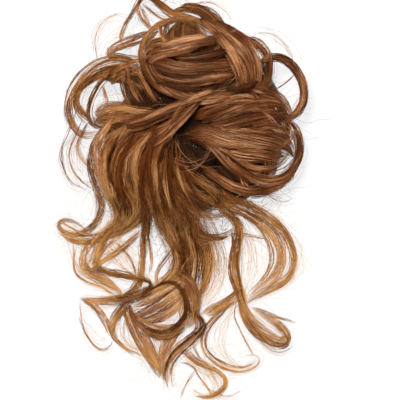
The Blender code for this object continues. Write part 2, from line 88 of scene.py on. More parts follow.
def read_locks(table: str) -> dict[str, dict[str, Rows]]:
    """Reads a table of locks.

    Args:
        table: each group's name and a colon, then each of its locks' names with the lock's places after it.

    Returns:
        Each lock's rows, by group and name.
    """
    groups = {}
    for word in table.replace(",", " ").split():
        if word.endswith(":"):
            locks = groups.setdefault(word[:-1], {})
        elif word[0].isalpha():
            numbers = locks.setdefault(word, [])
        else:
            numbers.append(word)
    for locks in groups.values():
        locks.update({name: rows_of(numbers, LOCK_COLUMNS) for name, numbers in locks.items()})
    return groups


# The locks that the solids have too
HAIR = read_locks("""
crown_loops:
ring_loop 170 86 40 7, 153 77 46 7, 143 64 47 7, 143 50 46 6, 150 36 43 6, 163 26 40 6, 178 22 38 6,
    192 26 37 6, 203 37 38 6
ring_filling 168 24 39 6, 165 36 36 8, 170 50 44 8
ring_filling_right 186 22 37 6, 187 35 36 8, 184 48 45 8
apex_sweep 138 9 24 4, 141 0 24 5, 150 -2 25 7, 161 6 29 9, 173 15 33 10, 188 20 35 10, 203 26 36 9,
    214 37 40 8
apex_left 141 0 24 5, 134 14 25 4, 126 27 27 4, 122 38 28 4, 122 46 28 4
apex_inner 137 6 24 4, 141 20 29 4, 150 32 40 5
spike 152 34 41 6, 138 39 36 6, 124 45 30 8, 112 51 27 8, 109 56 26 7, 118 59 28 8, 131 61 33 8, 144 63 44 8
top_edge 172 13 30 6, 188 10 29 9, 203 15 30 10, 216 27 33 10, 226 40 40 9

upper_waves:
wave_top 146 58 50 9, 160 52 54 12, 180 49 56 12, 200 44 54 10, 219 43 50 9
wave_middle 146 62 50 9, 160 66 54 15, 180 72 56 14, 208 70 55 13, 237 66 51 12
wave_low 150 72 48 9, 166 80 51 11, 186 84 52 11, 210 81 51 11, 238 76 49 12
wave_bottom 160 84 44 8, 173 92 47 12, 188 97 48 14, 205 99 48 13, 222 96 48 11, 240 90 45 10
sweep_inner 200 20 38 9, 215 32 45 15, 227 46 50 17, 236 62 52 17, 242 78 50 16, 243 93 44 12
sweep_outer 209 25 37 9, 230 36 42 15, 246 51 47 15, 253 67 48 15, 254 82 46 13, 247 94 42 10
sweep_edge 222 31 36 8, 240 37 35 8, 257 46 33 8, 266 57 32 9, 269 71 36 9, 265 86 42 9, 250 97 45 9

right_loops:
upper_loop 258 68 42 7, 268 60 33 8, 280 60 28 9, 292 69 25 10, 300 82 24 10, 302 97 24 10, 298 110 25 10,
    288 119 29 10, 274 122 37 9
band_top 194 120 42 9, 210 113 46 12, 227 106 48 13, 243 101 47 12, 258 104 43 10
band_upper 206 122 44 10, 226 117 47 12, 246 109 47 13, 266 105 43 12, 283 108 34 11
band_middle 204 130 44 9, 226 127 47 11, 248 121 47 12, 268 116 42 12, 284 120 34 11
band_broad 186 137 40 12, 206 134 45 17, 228 138 48 19, 250 140 47 20, 270 142 41 20, 286 148 31 15,
    293 158 24 10
band_low 224 152 46 12, 246 154 46 14, 266 155 41 13, 284 157 31 10
lower_loop 184 131 38 8, 202 141 44 11, 216 151 46 11, 228 164 45 12, 242 173 42 12, 258 180 37 12,
    276 180 30 10, 290 171 25 9, 298 157 23 9, 298 141 23 9, 293 127 26 9, 284 119 32 8
lower_edge 200 166 40 8, 216 177 42 10, 234 187 40 11, 253 192 34 11, 271 189 28 10, 288 178 24 9,
    297 163 23 9

cross_locks:
long_cross 200 101 52 8, 186 106 53 10, 170 112 52 12, 154 119 49 13, 138 125 45 13, 123 127 41 12,
    110 124 37 11
short_cross 200 101 51 8, 190 111 51 9, 180 122 50 11, 168 133 48 11, 156 143 45 11, 146 150 41 9

left_loops:
outer_loop 140 66 42 6, 121 61 34 6, 103 64 28 6, 90 72 24 6, 80 83 21 6, 73 96 19 6, 70 110 18 6,
    72 122 18 6, 79 133 20 7, 92 135 26 8, 104 131 31 8
middle_loop 134 70 40 8, 116 70 34 9, 101 76 29 9, 87 84 25 8, 79 94 22 6, 78 105 21 6, 85 115 24 6,
    95 124 28 6
inner_loop 118 72 36 6, 106 80 33 7, 98 91 30 6, 92 103 28 6, 90 116 27 6, 95 126 28 6, 105 128 31 6
hole_top 104 80 33 8, 118 78 36 12, 131 83 38 12, 137 95 38 10, 135 107 37 10
lobe_top 136 108 37 10, 121 108 38 12, 107 110 36 14, 96 117 32 12
lobe_low 96 117 32 12, 101 125 32 13, 114 124 37 14, 130 120 40 12

left_fall:
fall_outer 104 131 34 9, 95 146 31 9, 92 162 28 9, 95 178 22 10, 100 194 13 10, 101 208 6 9, 98 220 4 8,
    89 230 4 7, 76 235 4 6, 64 232 5 5, 58 225 6 4, 64 220 7 4, 75 222 7 4, 86 229 6 4
fall_upper 120 131 38 12, 108 145 36 12, 103 161 34 12, 106 178 28 12, 113 194 18 11, 119 208 9 10,
    117 220 5 9, 106 231 4 9, 92 236 4 8
fall_inner 136 136 41 12, 124 149 37 12, 117 165 35 12, 119 182 30 12, 125 198 20 12, 128 212 11 11,
    121 224 6 10, 108 232 4 9
fall_curl 146 214 12 9, 134 221 8 10, 119 230 5 10, 102 237 4 10, 84 240 4 9, 70 237 4 8, 60 229 5 5

centre_fall:
fall_straight 152 150 41 11, 142 164 38 12, 138 182 34 13, 141 200 26 13, 145 217 15 12, 144 235 6 8,
    143 252 4 6, 142 268 4 6, 140 281 5 7, 131 292 5 8, 117 298 4 7, 100 299 4 6, 84 298 4 5
tail_left 160 150 40 11, 154 168 37 13, 155 187 33 14, 160 206 26 15, 168 225 16 16, 178 244 8 15,
    184 262 5 13, 178 277 6 12, 164 287 6 11, 148 295 6 10, 134 303 5 9
tail_right 172 160 37 11, 174 180 34 15, 181 200 28 17, 188 219 19 18, 196 238 10 17, 203 256 5 15,
    205 274 4 14, 201 292 5 12, 192 307 6 10
tail_core 163 160 36 12, 165 182 31 15, 171 204 25 17, 180 225 15 18, 188 246 7 16, 190 266 5 14,
    187 284 5 13, 187 302 6 11
elbow 184 303 8 9, 196 313 8 8, 204 323 8 8, 198 335 6 9, 185 346 5 10, 173 357 4 10, 166 370 4 8,
    168 387 3 4
under_hole 194 216 22 8, 192 228 16 8, 202 236 13 9, 216 239 11 9, 229 236 10 8

tail_curls:
ring_curl 172 282 7 10, 183 293 8 10, 187 307 8 10, 182 321 7 10, 168 328 6 10, 152 326 5 9, 138 318 5 9,
    130 307 5 8
low_left 128 304 4 8, 132 322 4 9, 140 339 4 10, 150 354 4 9, 158 367 4 7, 162 375 3 4
low_fill 182 322 6 9, 174 334 5 9, 165 347 4 8, 158 360 4 7

left_ringlets:
ringlet_top 108 230 8 7, 102 249 8 7, 96 264 8 7, 108 272 8 7, 124 275 9 8, 140 278 10 8, 151 281 10 8,
    151 288 9 7
ringlet_left 92 239 7 5, 84 251 7 5, 82 263 7 5, 88 273 7 5, 103 281 7 5, 118 291 8 5
ringlet_cross 140 232 14 5, 127 244 10 5, 112 255 9 5, 97 264 8 5, 85 270 7 5

lower_ringlets:
long_left 80 297 5 5, 94 305 5 5, 102 314 4 4, 108 325 4 4, 112 336 4 4, 122 346 4 3, 134 354 3 2
short_left 131 305 6 6, 119 315 6 6, 113 326 4 5, 112 336 4 5

right_tendril:
tendril 208 192 31 8, 222 210 25 8, 233 218 19 8, 239 229 14 9, 237 244 9 10, 234 259 6 10, 234 273 5 10,
    237 286 5 9, 242 298 6 9, 243 309 7 9, 249 321 7 10, 260 332 8 12, 273 340 9 13, 283 341 11 11,
    286 334 13 8, 278 325 14 8, 266 316 13 7, 255 309 11 6
branch 239 291 6 8, 230 302 5 9, 217 310 5 9, 207 315 4 8
thin_curl 230 303 5 5, 215 318 4 5, 206 331 3 5, 204 345 3 5, 211 357 3 5, 224 366 3 5, 240 369 3 5,
    252 365 4 4, 258 359 5 4

outer_tendril:
outer_sweep 220 186 33 8, 235 199 28 9, 251 208 21 9, 267 218 14 8, 281 231 8 7, 290 246 5 6, 293 262 4 6,
    288 276 4 7, 276 285 4 8, 262 292 5 8, 252 298 6 8, 244 304 7 6
inner_sweep 214 190 32 8, 230 206 27 8, 247 214 18 8, 262 224 11 8, 273 237 6 8, 279 251 4 8, 279 265 4 8,
    272 277 4 8, 262 286 4 8, 252 294 4 7

lowest_ringlet:
hook 184 348 6 6, 194 360 5 6, 206 367 4 6, 218 373 4 6, 225 381 4 5, 220 391 4 4, 208 397 4 4, 196 396 3 4
""")

# Fine locks that only the dressed piece has, laid over or beside the groups above
FINE_HAIR = read_locks("""
crown_loops:
ring_floor 157 46 33 9, 171 38 33 13, 186 34 33 18, 200 38 34 16, 210 46 38 12
ring_back 160 49 37 8, 168 40 35 9, 177 31 34 12, 188 28 34 14, 199 35 36 13, 206 46 41 12
ring_back_low 146 54 42 8, 154 45 40 11, 172 42 39 13, 186 41 39 13, 198 46 41 12
double_left 141 6 26 3, 146 20 32 3, 153 33 42 3
double_top 143 6 26 3, 152 14 31 3, 163 21 36 3, 172 26 38 3
ring_side 147 57 44 5, 149 47 43 6, 154 39 42 5, 160 33 41 3
radial_one 160 25 41 4, 161 37 42 5, 168 49 47 5
radial_two 178 22 40 3, 174 34 42 4, 174 48 47 4
radial_four 186 22 40 3, 183 34 42 4, 184 48 47 4
radial_dark 181 23 41 2, 179 35 43 3, 179 48 48 3
ring_line 164 27 41 2, 178 24 40 2, 191 28 39 2, 200 38 40 3, 202 48 43 3
radial_three 196 26 40 4, 197 37 42 5, 192 48 48 5
spike_over 156 40 44 4, 140 45 37 4, 124 50 31 4, 111 55 28 3, 122 60 30 4, 140 60 40 5
frizz_top 180 9 30 6, 196 9 31 8, 210 17 33 9, 221 29 37 8, 229 42 44 6
dark_line 190 8 33 2, 205 9 34 2, 216 15 36 2, 223 25 40 2, 226 33 44 2
ring_low 166 84 44 5, 150 74 48 5, 142 60 49 4, 145 43 46 4, 156 30 43 4, 171 24 41 4, 186 24 40 4,
    199 31 42 4

upper_waves:
turn_outer 178 97 46 7, 161 89 46 8, 149 77 48 8, 145 64 50 8, 152 54 52 8, 170 50 55 8, 190 47 55 7
turn_inner 182 90 49 6, 166 84 50 7, 155 74 51 7, 152 64 53 7, 160 58 55 7, 176 55 57 7, 198 51 56 6
between_two 154 70 55 3, 167 76 57 4, 183 79 58 4, 200 77 58 3, 216 74 57 3
between_three 164 84 52 3, 176 90 54 4, 192 92 55 4, 208 91 54 3, 224 87 53 3
eye_dark 174 60 56 3, 188 61 57 7, 204 59 57 10, 218 56 56 9, 229 52 54 5
knot_dark 224 91 54 4, 237 91 55 7, 249 88 53 7, 258 83 49 4
wave_shine 158 50 56 4, 174 45 58 6, 192 41 58 6, 210 39 57 5
over_sweep 206 24 40 7, 222 36 49 9, 236 50 54 10, 246 64 54 10, 249 80 50 9, 246 94 46 7
inner_sweep 212 34 48 6, 226 48 54 8, 236 64 55 8, 241 80 52 7, 241 94 46 6
round_hole 246 40 40 4, 258 42 38 4, 267 52 37 4, 270 66 39 4, 268 80 42 4, 258 92 46 4
hook 228 34 44 4, 236 32 43 4, 244 38 43 4, 252 46 42 4, 258 56 42 3

right_loops:
upper_loop_out 262 64 40 4, 276 57 33 4, 291 63 28 4, 302 78 27 4, 305 96 27 4, 300 112 28 4, 288 122 33 4
upper_loop_in 294 74 27 2, 284 84 30 2, 274 91 36 2, 262 98 43 2
fine_one 196 112 46 3, 220 106 51 3, 245 104 52 3, 270 102 44 3, 288 106 34 3
fine_two 200 124 47 3, 228 115 51 3, 256 112 50 3, 282 113 37 3
fine_three 204 128 47 4, 230 133 52 4, 256 133 49 4, 280 136 38 4, 292 146 29 4
fine_four 190 140 43 4, 212 146 49 4, 240 148 50 4, 266 149 44 4, 288 156 29 4
inner_loop 206 140 46 5, 224 152 49 6, 240 163 46 6, 256 169 41 6, 272 168 35 5, 284 160 31 4, 291 148 29 4
side_one 258 96 46 7, 274 102 39 9, 284 114 32 9, 287 130 27 8, 282 144 28 7
side_two 254 88 47 6, 270 93 41 8, 283 104 33 8, 291 119 27 6
side_three 250 128 50 7, 268 126 45 9, 282 132 36 9, 290 146 27 7
thin_in_hole 262 174 37 2, 274 172 33 2, 286 167 29 2, 293 158 28 2
far_loop 270 150 42 4, 286 142 34 5, 296 132 30 4, 299 142 27 4, 300 156 24 4, 294 170 23 4, 284 180 24 4

cross_locks:
side_lock_one 127 62 43 4, 130 76 43 6, 134 90 43 7, 141 104 44 5
side_lock_two 137 66 45 3, 142 80 45 5, 149 93 45 5, 159 106 46 3
side_lock_three 122 70 40 3, 124 84 40 5, 127 97 40 5, 133 108 42 3
side_dark_one 138 66 44 9, 136 80 42 12, 139 95 41 13, 146 110 41 12, 154 122 42 8
side_dark_two 128 72 41 8, 128 85 39 11, 131 99 39 12, 138 112 40 9
mass_three 146 80 43 7, 138 90 41 8, 134 102 40 7, 130 114 40 6
hollow_hair_one 166 152 46 1, 178 160 47 1, 193 162 47 1, 208 155 46 1, 216 146 44 1
hollow_hair_two 174 140 48 1, 181 152 48 1, 193 162 47 1, 208 168 44 1, 222 168 40 1
hollow_hair_three 170 170 42 1, 182 172 43 1, 196 168 44 1, 206 158 45 1, 210 146 46 1
cross_fine 206 99 55 4, 184 104 56 5, 162 112 54 5, 140 121 49 5, 116 124 42 5
cross_under 196 108 50 5, 176 119 49 6, 158 130 46 6, 138 137 42 6, 122 146 38 5
knot_over 215 92 53 6, 201 97 56 7, 188 104 56 7, 178 114 53 6, 171 127 49 5

left_loops:
outer_fine 136 62 43 3, 117 58 36 3, 99 61 30 3, 86 69 26 3, 76 80 23 3, 69 94 21 3, 66 110 20 3,
    69 124 20 3, 78 137 22 3
second_fine 130 66 41 3, 110 67 34 3, 95 73 29 3, 83 82 26 3, 76 93 23 3, 74 106 22 3, 80 118 24 3,
    90 128 28 3
dark_bow 118 74 38 2, 104 82 35 2, 96 94 31 2, 90 106 29 2, 91 122 30 2
hole_line 104 86 36 3, 106 96 35 3, 109 106 37 3
lobe_fill 142 116 38 9, 124 116 38 12, 107 118 36 12, 97 121 31 8
hole_band 90 84 27 6, 101 77 32 8, 116 76 36 10, 131 81 40 11, 144 92 42 9
mass_one 144 62 46 7, 130 66 43 8, 118 71 40 7, 108 79 36 5
mass_two 148 72 46 7, 134 74 43 8, 121 78 40 6, 112 86 37 4
lobe_over 158 112 45 7, 142 112 43 8, 126 110 42 8, 112 112 40 7, 101 117 36 6, 94 126 31 5
lobe_under 164 118 45 7, 146 121 43 8, 128 122 41 8, 112 122 37 7, 99 124 32 6

left_fall:
over_one 130 126 43 8, 117 137 40 9, 107 150 37 9, 102 165 34 9, 104 182 30 9, 111 197 23 8, 116 210 15 7,
    114 222 9 6, 103 232 6 6
over_two 150 136 44 9, 134 146 41 10, 124 160 39 10, 122 176 37 10, 127 192 33 10, 135 206 26 9,
    136 219 16 8, 126 230 9 7, 110 238 6 6
recess 128 150 45 3, 120 168 43 6, 121 188 40 7, 127 206 31 6, 128 218 18 4
recess_two 116 142 43 2, 108 158 40 4, 110 178 38 4, 118 198 29 4, 122 212 18 3
gold_two 150 134 45 6, 138 150 42 8, 134 170 40 9, 137 190 36 9, 136 208 26 9, 126 222 14 8, 108 234 7 6
gold_three 108 128 40 6, 98 146 35 8, 99 166 33 9, 107 186 30 9, 115 204 20 8, 118 218 10 7
skirt_one 124 180 38 8, 127 196 34 10, 131 210 25 10, 128 223 12 9, 117 232 7 8
skirt_two 112 186 33 7, 116 200 26 9, 121 213 15 9, 117 225 8 8, 104 234 6 7
curl_root 158 172 39 6, 155 190 35 8, 151 205 25 9, 143 216 14 10, 129 226 8 10, 112 233 6 9, 95 239 5 8
outer_thin 84 134 24 4, 79 145 22 4, 82 157 21 4, 90 167 22 4, 98 176 22 4
far_thin 76 136 20 3, 70 150 16 2, 72 166 13 2, 82 180 13 3, 94 190 15 3
far_thinner 70 130 18 2, 62 150 12 2, 64 168 9 2, 72 184 8 2, 88 190 11 2
curl_inside 96 236 8 4, 82 233 8 4, 70 227 9 3, 62 222 9 3, 68 219 9 3
curl_low 152 196 29 4, 147 210 18 5, 139 220 11 5, 124 228 8 6, 106 236 6 6, 88 241 5 5, 72 240 5 4,
    58 232 5 3

centre_fall:
mid_slit_one 172 158 48 2, 170 176 46 4, 172 194 41 4, 178 212 29 3
mid_slit_two 183 166 45 2, 189 182 41 4, 198 196 35 4, 209 208 27 3
mid_slit_three 160 176 45 2, 161 192 42 4, 166 208 32 4, 173 222 20 3
mid_light_one 177 158 49 2, 178 174 47 4, 184 190 41 4, 194 206 32 3
mid_light_two 166 164 48 2, 165 180 46 4, 168 198 40 4, 174 216 26 3
tail_fine_one 152 146 43 8, 147 165 40 9, 148 184 36 10, 153 203 28 10, 161 222 18 10, 170 240 10 9,
    176 258 7 8, 172 273 8 7, 160 284 8 7, 142 293 7 6, 124 299 6 5
tail_fine_two 182 166 37 9, 186 186 33 10, 192 206 26 11, 198 226 16 11, 206 244 9 10, 211 262 6 9,
    208 280 6 8, 200 296 6 7, 194 310 8 6
tail_fine_three 166 156 38 8, 168 178 34 9, 176 200 28 10, 186 222 18 10, 192 242 10 9, 196 262 7 8,
    194 282 7 8, 190 300 8 6
straight_end 154 284 10 7, 146 292 9 9, 132 298 8 10, 117 301 6 8, 99 301 5 6, 83 299 5 5
under_fan_one 172 170 39 7, 184 184 37 9, 200 197 32 9, 218 205 26 8, 238 206 22 6
under_fan_two 167 176 38 7, 176 193 34 9, 190 207 27 9, 207 215 21 8, 226 215 17 6
under_fan_three 182 166 40 7, 197 178 38 9, 214 190 33 9, 232 199 28 8, 250 200 24 6
under_fan_light 176 168 40 3, 190 184 37 4, 206 196 31 4, 226 203 25 4, 246 204 22 3
slit_one 154 142 49 3, 150 160 47 5, 151 180 44 5, 155 200 38 4, 162 218 27 3
slit_two 146 164 45 2, 142 180 44 4, 143 198 39 4, 147 214 27 3
gold_one 164 140 44 5, 154 160 42 7, 155 182 38 8, 162 206 31 8, 171 230 18 8, 180 250 10 6
skirt_middle 140 180 38 8, 143 196 33 10, 147 211 22 10, 149 227 11 8, 148 242 7 6
skirt_right 150 182 37 8, 155 198 32 10, 162 213 22 11, 170 228 14 10, 178 242 9 8
neck_dark 176 214 26 7, 181 232 16 8, 186 250 10 9, 189 268 8 9, 191 288 8 8, 195 306 9 6
neck_line 188 220 22 4, 195 238 14 4, 199 256 9 4, 198 274 8 4, 194 292 8 4
neck_side 166 222 20 4, 174 240 12 4, 180 256 9 4, 178 272 9 4, 168 282 9 4
neck_loop 176 246 12 4, 166 258 9 4, 158 270 8 4, 157 282 8 4, 166 290 9 4
elbow_line 188 308 10 3, 197 315 10 3, 204 323 10 3, 197 332 9 3, 184 341 8 3, 171 355 7 3, 165 371 6 3,
    163 385 4 2
elbow_rim 206 321 9 2, 203 330 9 3, 193 342 8 2, 181 354 7 2, 173 364 6 2, 171 376 5 2, 173 388 4 1
light_loop 84 262 7 5, 90 272 7 7, 102 279 7 8, 114 288 7 8, 124 298 7 7
short_fan 134 298 8 7, 122 308 7 8, 114 320 6 8, 111 334 5 5
under_curl 92 267 8 5, 106 272 8 6, 122 276 9 6, 138 278 10 6, 150 280 11 5, 152 287 10 5, 142 295 8 5,
    130 300 7 4
elbow_in 186 310 9 4, 196 320 9 4, 196 330 8 4, 184 340 6 4, 172 352 5 4, 164 366 5 3, 163 380 4 2
hole_fine 196 220 22 4, 200 232 17 4, 214 236 14 4, 228 233 13 4, 240 226 13 3
hole_arm 226 236 10 3, 240 233 9 3, 254 236 7 3, 268 239 5 3
straight_fine 146 214 17 4, 148 232 9 3, 151 250 6 3, 152 264 5 3, 149 276 6 3

tail_curls:
ring_fan_four 146 325 5 3, 160 321 7 5, 173 313 8 6, 183 301 9 5
ring_inside 174 276 7 9, 182 289 7 12, 184 304 7 12, 180 319 6 10
ring_outside 184 272 9 7, 192 286 9 10, 195 300 9 10, 192 314 8 8
ring_fan_one 134 318 5 6, 146 312 7 8, 160 303 8 10, 174 293 9 8, 184 284 9 5
ring_fan_two 140 322 5 5, 152 318 7 7, 166 311 8 8, 178 302 9 7, 186 293 9 5
ring_fan_three 136 306 5 5, 148 300 7 7, 162 292 8 8, 176 284 9 7, 186 276 10 5
ring_fan_line 134 314 6 3, 148 307 8 3, 163 298 9 3, 178 287 10 3
ring_fan_mark 140 320 6 2, 154 314 8 3, 168 306 9 3, 182 295 10 2
ring_right 178 272 10 10, 190 284 9 14, 195 299 9 14, 194 314 8 12, 188 328 7 9
ring_low_band 130 310 7 5, 136 322 7 7, 147 332 7 8, 160 336 7 9, 173 334 7 9, 184 325 8 8, 190 312 9 7
low_outer 124 302 6 4, 126 318 5 5, 133 334 5 5, 142 350 5 5, 151 363 4 4, 160 378 4 2
low_branch 125 300 6 3, 119 312 5 3, 114 326 5 3, 116 340 5 2, 128 350 5 2, 142 354 5 2
low_mass 143 328 6 10, 146 340 5 10, 151 353 4 9, 158 366 4 6, 162 376 4 3
low_mass_right 178 330 7 5, 172 340 6 6, 167 350 5 6, 162 360 4 6, 160 370 4 3
low_mass_top 140 330 6 6, 154 338 6 7, 170 338 6 7, 184 330 7 5
ring_edge 150 290 9 4, 160 284 10 4, 172 282 10 4, 182 290 11 5, 187 305 11 5, 184 318 10 5, 172 329 9 4,
    156 331 8 4, 140 325 7 4, 131 312 6 4, 130 300 6 3
ring_base 129 302 6 3, 131 315 6 4, 141 327 7 4, 156 334 8 4, 172 333 8 4, 186 321 9 4
mass_edge 133 316 7 3, 139 334 6 3, 147 351 6 2, 157 368 5 2, 160 378 4 2
mass_line 150 338 7 2, 154 350 6 3, 160 362 5 2

left_ringlets:
outer_line 78 243 7 3, 74 257 6 3, 76 273 6 3, 87 282 6 3, 101 287 6 3, 120 297 7 3
lattice_one 104 234 8 3, 93 247 7 3, 85 260 7 3, 87 273 7 3
ringlet_band 113 226 10 5, 104 239 10 7, 99 251 10 7, 97 263 10 5
ringlet_ring 98 240 9 2, 89 247 8 2, 86 258 8 2, 88 270 8 2, 95 268 9 2, 99 257 9 2
ringlet_back 100 234 6 3, 96 246 6 3, 92 258 6 3, 88 268 6 3
lattice_two 116 238 8 3, 105 250 8 3, 97 262 9 3, 88 275 7 3
lattice_three 116 242 9 3, 126 254 8 3, 133 266 9 3, 136 277 11 3
cross_low 142 229 12 3, 130 240 9 3, 118 250 8 3, 106 259 9 3, 91 271 7 3

lower_ringlets:
long_fine 82 299 6 3, 92 306 5 3, 100 315 5 3, 106 326 5 3, 110 336 5 3
drop 79 316 3 2, 88 336 3 2, 100 349 3 2, 110 346 3 2, 113 338 4 2

right_tendril:
curl_dark 271 321 13 2, 281 330 13 3, 288 339 13 3, 285 347 12 3, 274 345 11 2
tendril_fine 218 208 28 5, 232 216 22 5, 242 229 16 5, 241 245 11 5, 238 260 8 5, 239 274 7 5, 242 286 7 5,
    246 298 8 5, 248 309 9 5, 255 320 10 5, 266 329 11 5, 277 334 12 4
edge_line 220 204 29 3, 234 214 22 3, 242 227 17 4, 241 245 12 4, 238 261 9 4, 240 278 8 4, 244 296 9 4,
    248 309 10 3
left_line 230 226 17 3, 232 244 11 3, 229 260 8 3, 230 276 7 3, 236 292 7 3, 240 308 8 4, 245 322 9 4,
    257 335 10 4, 270 346 11 4, 282 348 12 4, 289 340 14 3
curl_fine 246 312 9 4, 252 325 9 4, 264 336 10 4, 277 344 11 4, 287 343 13 3, 289 335 14 3, 280 323 15 3,
    268 314 14 3, 256 307 12 3
end_fine 250 306 11 3, 264 311 11 3, 280 318 9 3, 296 323 6 3
thin_inner 236 303 5 2, 234 316 4 2, 240 330 4 2, 248 345 4 2, 254 356 5 2
thin_outer 239 299 6 3, 226 307 5 2, 211 319 4 2, 203 332 4 2, 202 347 4 2, 210 359 4 2, 224 369 4 2,
    240 372 4 2, 254 367 4 2, 260 359 4 2, 252 354 5 2, 240 358 4 2
branch_fine 240 288 8 4, 228 298 6 5, 214 306 6 5, 200 316 7 4

outer_tendril:
outermost 236 197 28 4, 254 206 21 4, 272 216 14 4, 286 230 9 4, 294 247 6 4, 296 264 5 4, 289 280 5 4,
    275 289 5 4, 258 296 6 4, 245 306 8 4
middle 226 200 29 4, 244 210 21 4, 262 219 14 4, 276 233 8 4, 284 249 5 4, 284 265 5 4, 276 280 5 4,
    262 290 6 4, 248 299 7 4
inmost 220 203 28 4, 238 212 20 4, 254 223 12 4, 266 237 7 4, 271 252 5 4, 270 267 5 4, 262 280 5 4,
    250 293 6 4, 243 304 8 4

lowest_ringlet:
hook_fine 176 345 7 3, 186 356 6 3, 200 365 5 3, 216 371 4 3, 227 380 4 3, 223 391 4 3, 210 397 4 3,
    193 395 4 3
second 192 342 8 2, 196 353 6 2, 204 364 4 2, 213 376 4 2, 219 388 4 2
cross_one 180 362 4 3, 192 366 4 3, 198 376 4 2, 206 386 3 2, 211 397 3 2
cross_two 196 370 4 2, 188 380 4 2, 183 390 3 2, 180 398 3 2
""")

# Loose single hairs that stand clear of the outline
LOOSE_HAIRS = read_locks("""
loose:
left_bow 100 66 28 1, 96 50 24 1, 97 35 22 1, 105 22 20 1, 118 15 20 1, 131 17 24 1
right_bow 254 34 30 1, 270 35 26 1, 283 44 22 1, 291 57 22 1, 294 70 22 1
apex_one 150 4 26 1, 146 -1 27 1, 138 1 26 1, 132 9 24 1
top_one 188 12 32 1, 200 5 33 1, 214 6 32 1, 226 14 32 1, 233 26 35 1
top_two 160 8 28 1, 168 1 28 1, 180 0 29 1, 191 5 31 1
right_end 262 190 24 1, 273 199 18 1, 284 202 12 1, 293 198 10 1
right_hem 240 196 26 1, 252 206 20 1, 262 207 17 1, 270 200 17 1
low_left 80 300 5 1, 82 322 3 1, 91 342 2 1, 103 351 2 1, 111 346 3 1
low_right 258 340 6 1, 270 350 4 1, 283 352 3 1, 293 346 3 1
low_end 200 380 4 1, 214 392 3 1, 230 396 2 1, 240 390 2 1
""")["loose"]

# The tone of locks that are plainly darker or lighter than the rest, 0 dark to 1 light. The darkest slit,
# recess, between, eye and knot locks are painted shade in the gaps and recesses between locks, and wave_shine
# is a painted highlight
LOCK_TONES = {
    name: tone
    for tone, names in {
        0.00: "under_curl radial_dark ring_line dark_line dark_bow ring_fan_line neck_dark neck_line "
        "mid_slit_one mid_slit_two mid_slit_three slit_one slit_two between_two between_three eye_dark "
        "knot_dark edge_line side_dark_one",
        0.02: "ring_floor",
        0.03: "ring_edge curl_dark recess recess_two mass_three",
        0.05: "ring_fan_mark neck_side ring_base elbow_line side_dark_two",
        0.10: "ringlet_top",
        0.12: "elbow_rim",
        0.15: "ring_low_band tail_core mass_two",
        0.20: "ring_right tail_right ring_back_low fall_straight under_fan_two under_fan_three",
        0.25: "ring_curl hole_top under_fan_one skirt_middle left_line",
        0.30: "tail_left ring_back side_lock_two mass_one",
        0.35: "ring_side lobe_low",
        0.40: "outer_sweep radial_three skirt_right",
        0.45: "tendril hook fall_inner mass_edge mass_line ring_outside side_lock_one lobe_under",
        0.50: "straight_end ring_inside",
        0.55: "wave_low radial_one",
        0.60: "hole_band band_broad sweep_inner over_two low_fill under_fan_light side_lock_three lobe_top",
        0.62: "wave_bottom mid_light_two",
        0.65: "inner_sweep low_left gold_two",
        0.68: "mid_light_one",
        0.70: "tail_fine_two fall_upper low_mass_top ringlet_back",
        0.75: "elbow ring_fan_three low_mass",
        0.80: "elbow_in branch_fine tail_fine_one low_mass_right curl_root gold_one gold_three skirt_one "
        "skirt_two lobe_over",
        0.85: "ring_fan_one branch tendril_fine over_one ring_fan_four",
        0.90: "short_fan radial_two radial_four neck_loop curl_inside ringlet_band ringlet_ring "
        "wave_shine hollow_hair_two",
        0.95: "ring_fan_two light_loop hollow_hair_one hollow_hair_three",
        0.98: "fall_curl curl_low",
    }.items()
    for name in names.split()
}

# Locks below this tone get no fuzz or spray, and their painted light and shade is cut to about a third, which
# dims their painted gleam, so they stay dark all along
DARK = 0.06

# Sprays of single hairs between two edges: the group, how many and their tone
FANS = {
    "lattice_left": ("left_ringlets", 46, 0.85),
    "lattice_right": ("left_ringlets", 40, 0.80),
    "ringlet_edge": ("left_ringlets", 26, 0.75),
    "sweep_fan": ("outer_tendril", 34, 0.70),
    "inside_fan": ("outer_tendril", 20, 0.85),
    "tail_side": ("centre_fall", 64, 0.70),
    "tail_inner": ("centre_fall", 34, 0.55),
    "ring_fill": ("tail_curls", 84, 0.75),
    "low_fan": ("tail_curls", 40, 0.80),
    "low_loops": ("tail_curls", 22, 0.80),
    "hook_fan": ("lowest_ringlet", 22, 0.80),
    "curl_fan": ("right_tendril", 22, 0.75),
    "thin_loop": ("right_tendril", 14, 0.80),
    "left_bows": ("left_fall", 14, 0.65),
    "fall_side": ("left_fall", 30, 0.65),
    "loop_fan": ("left_loops", 24, 0.60),
    "apex_fan": ("crown_loops", 12, 0.60),
}
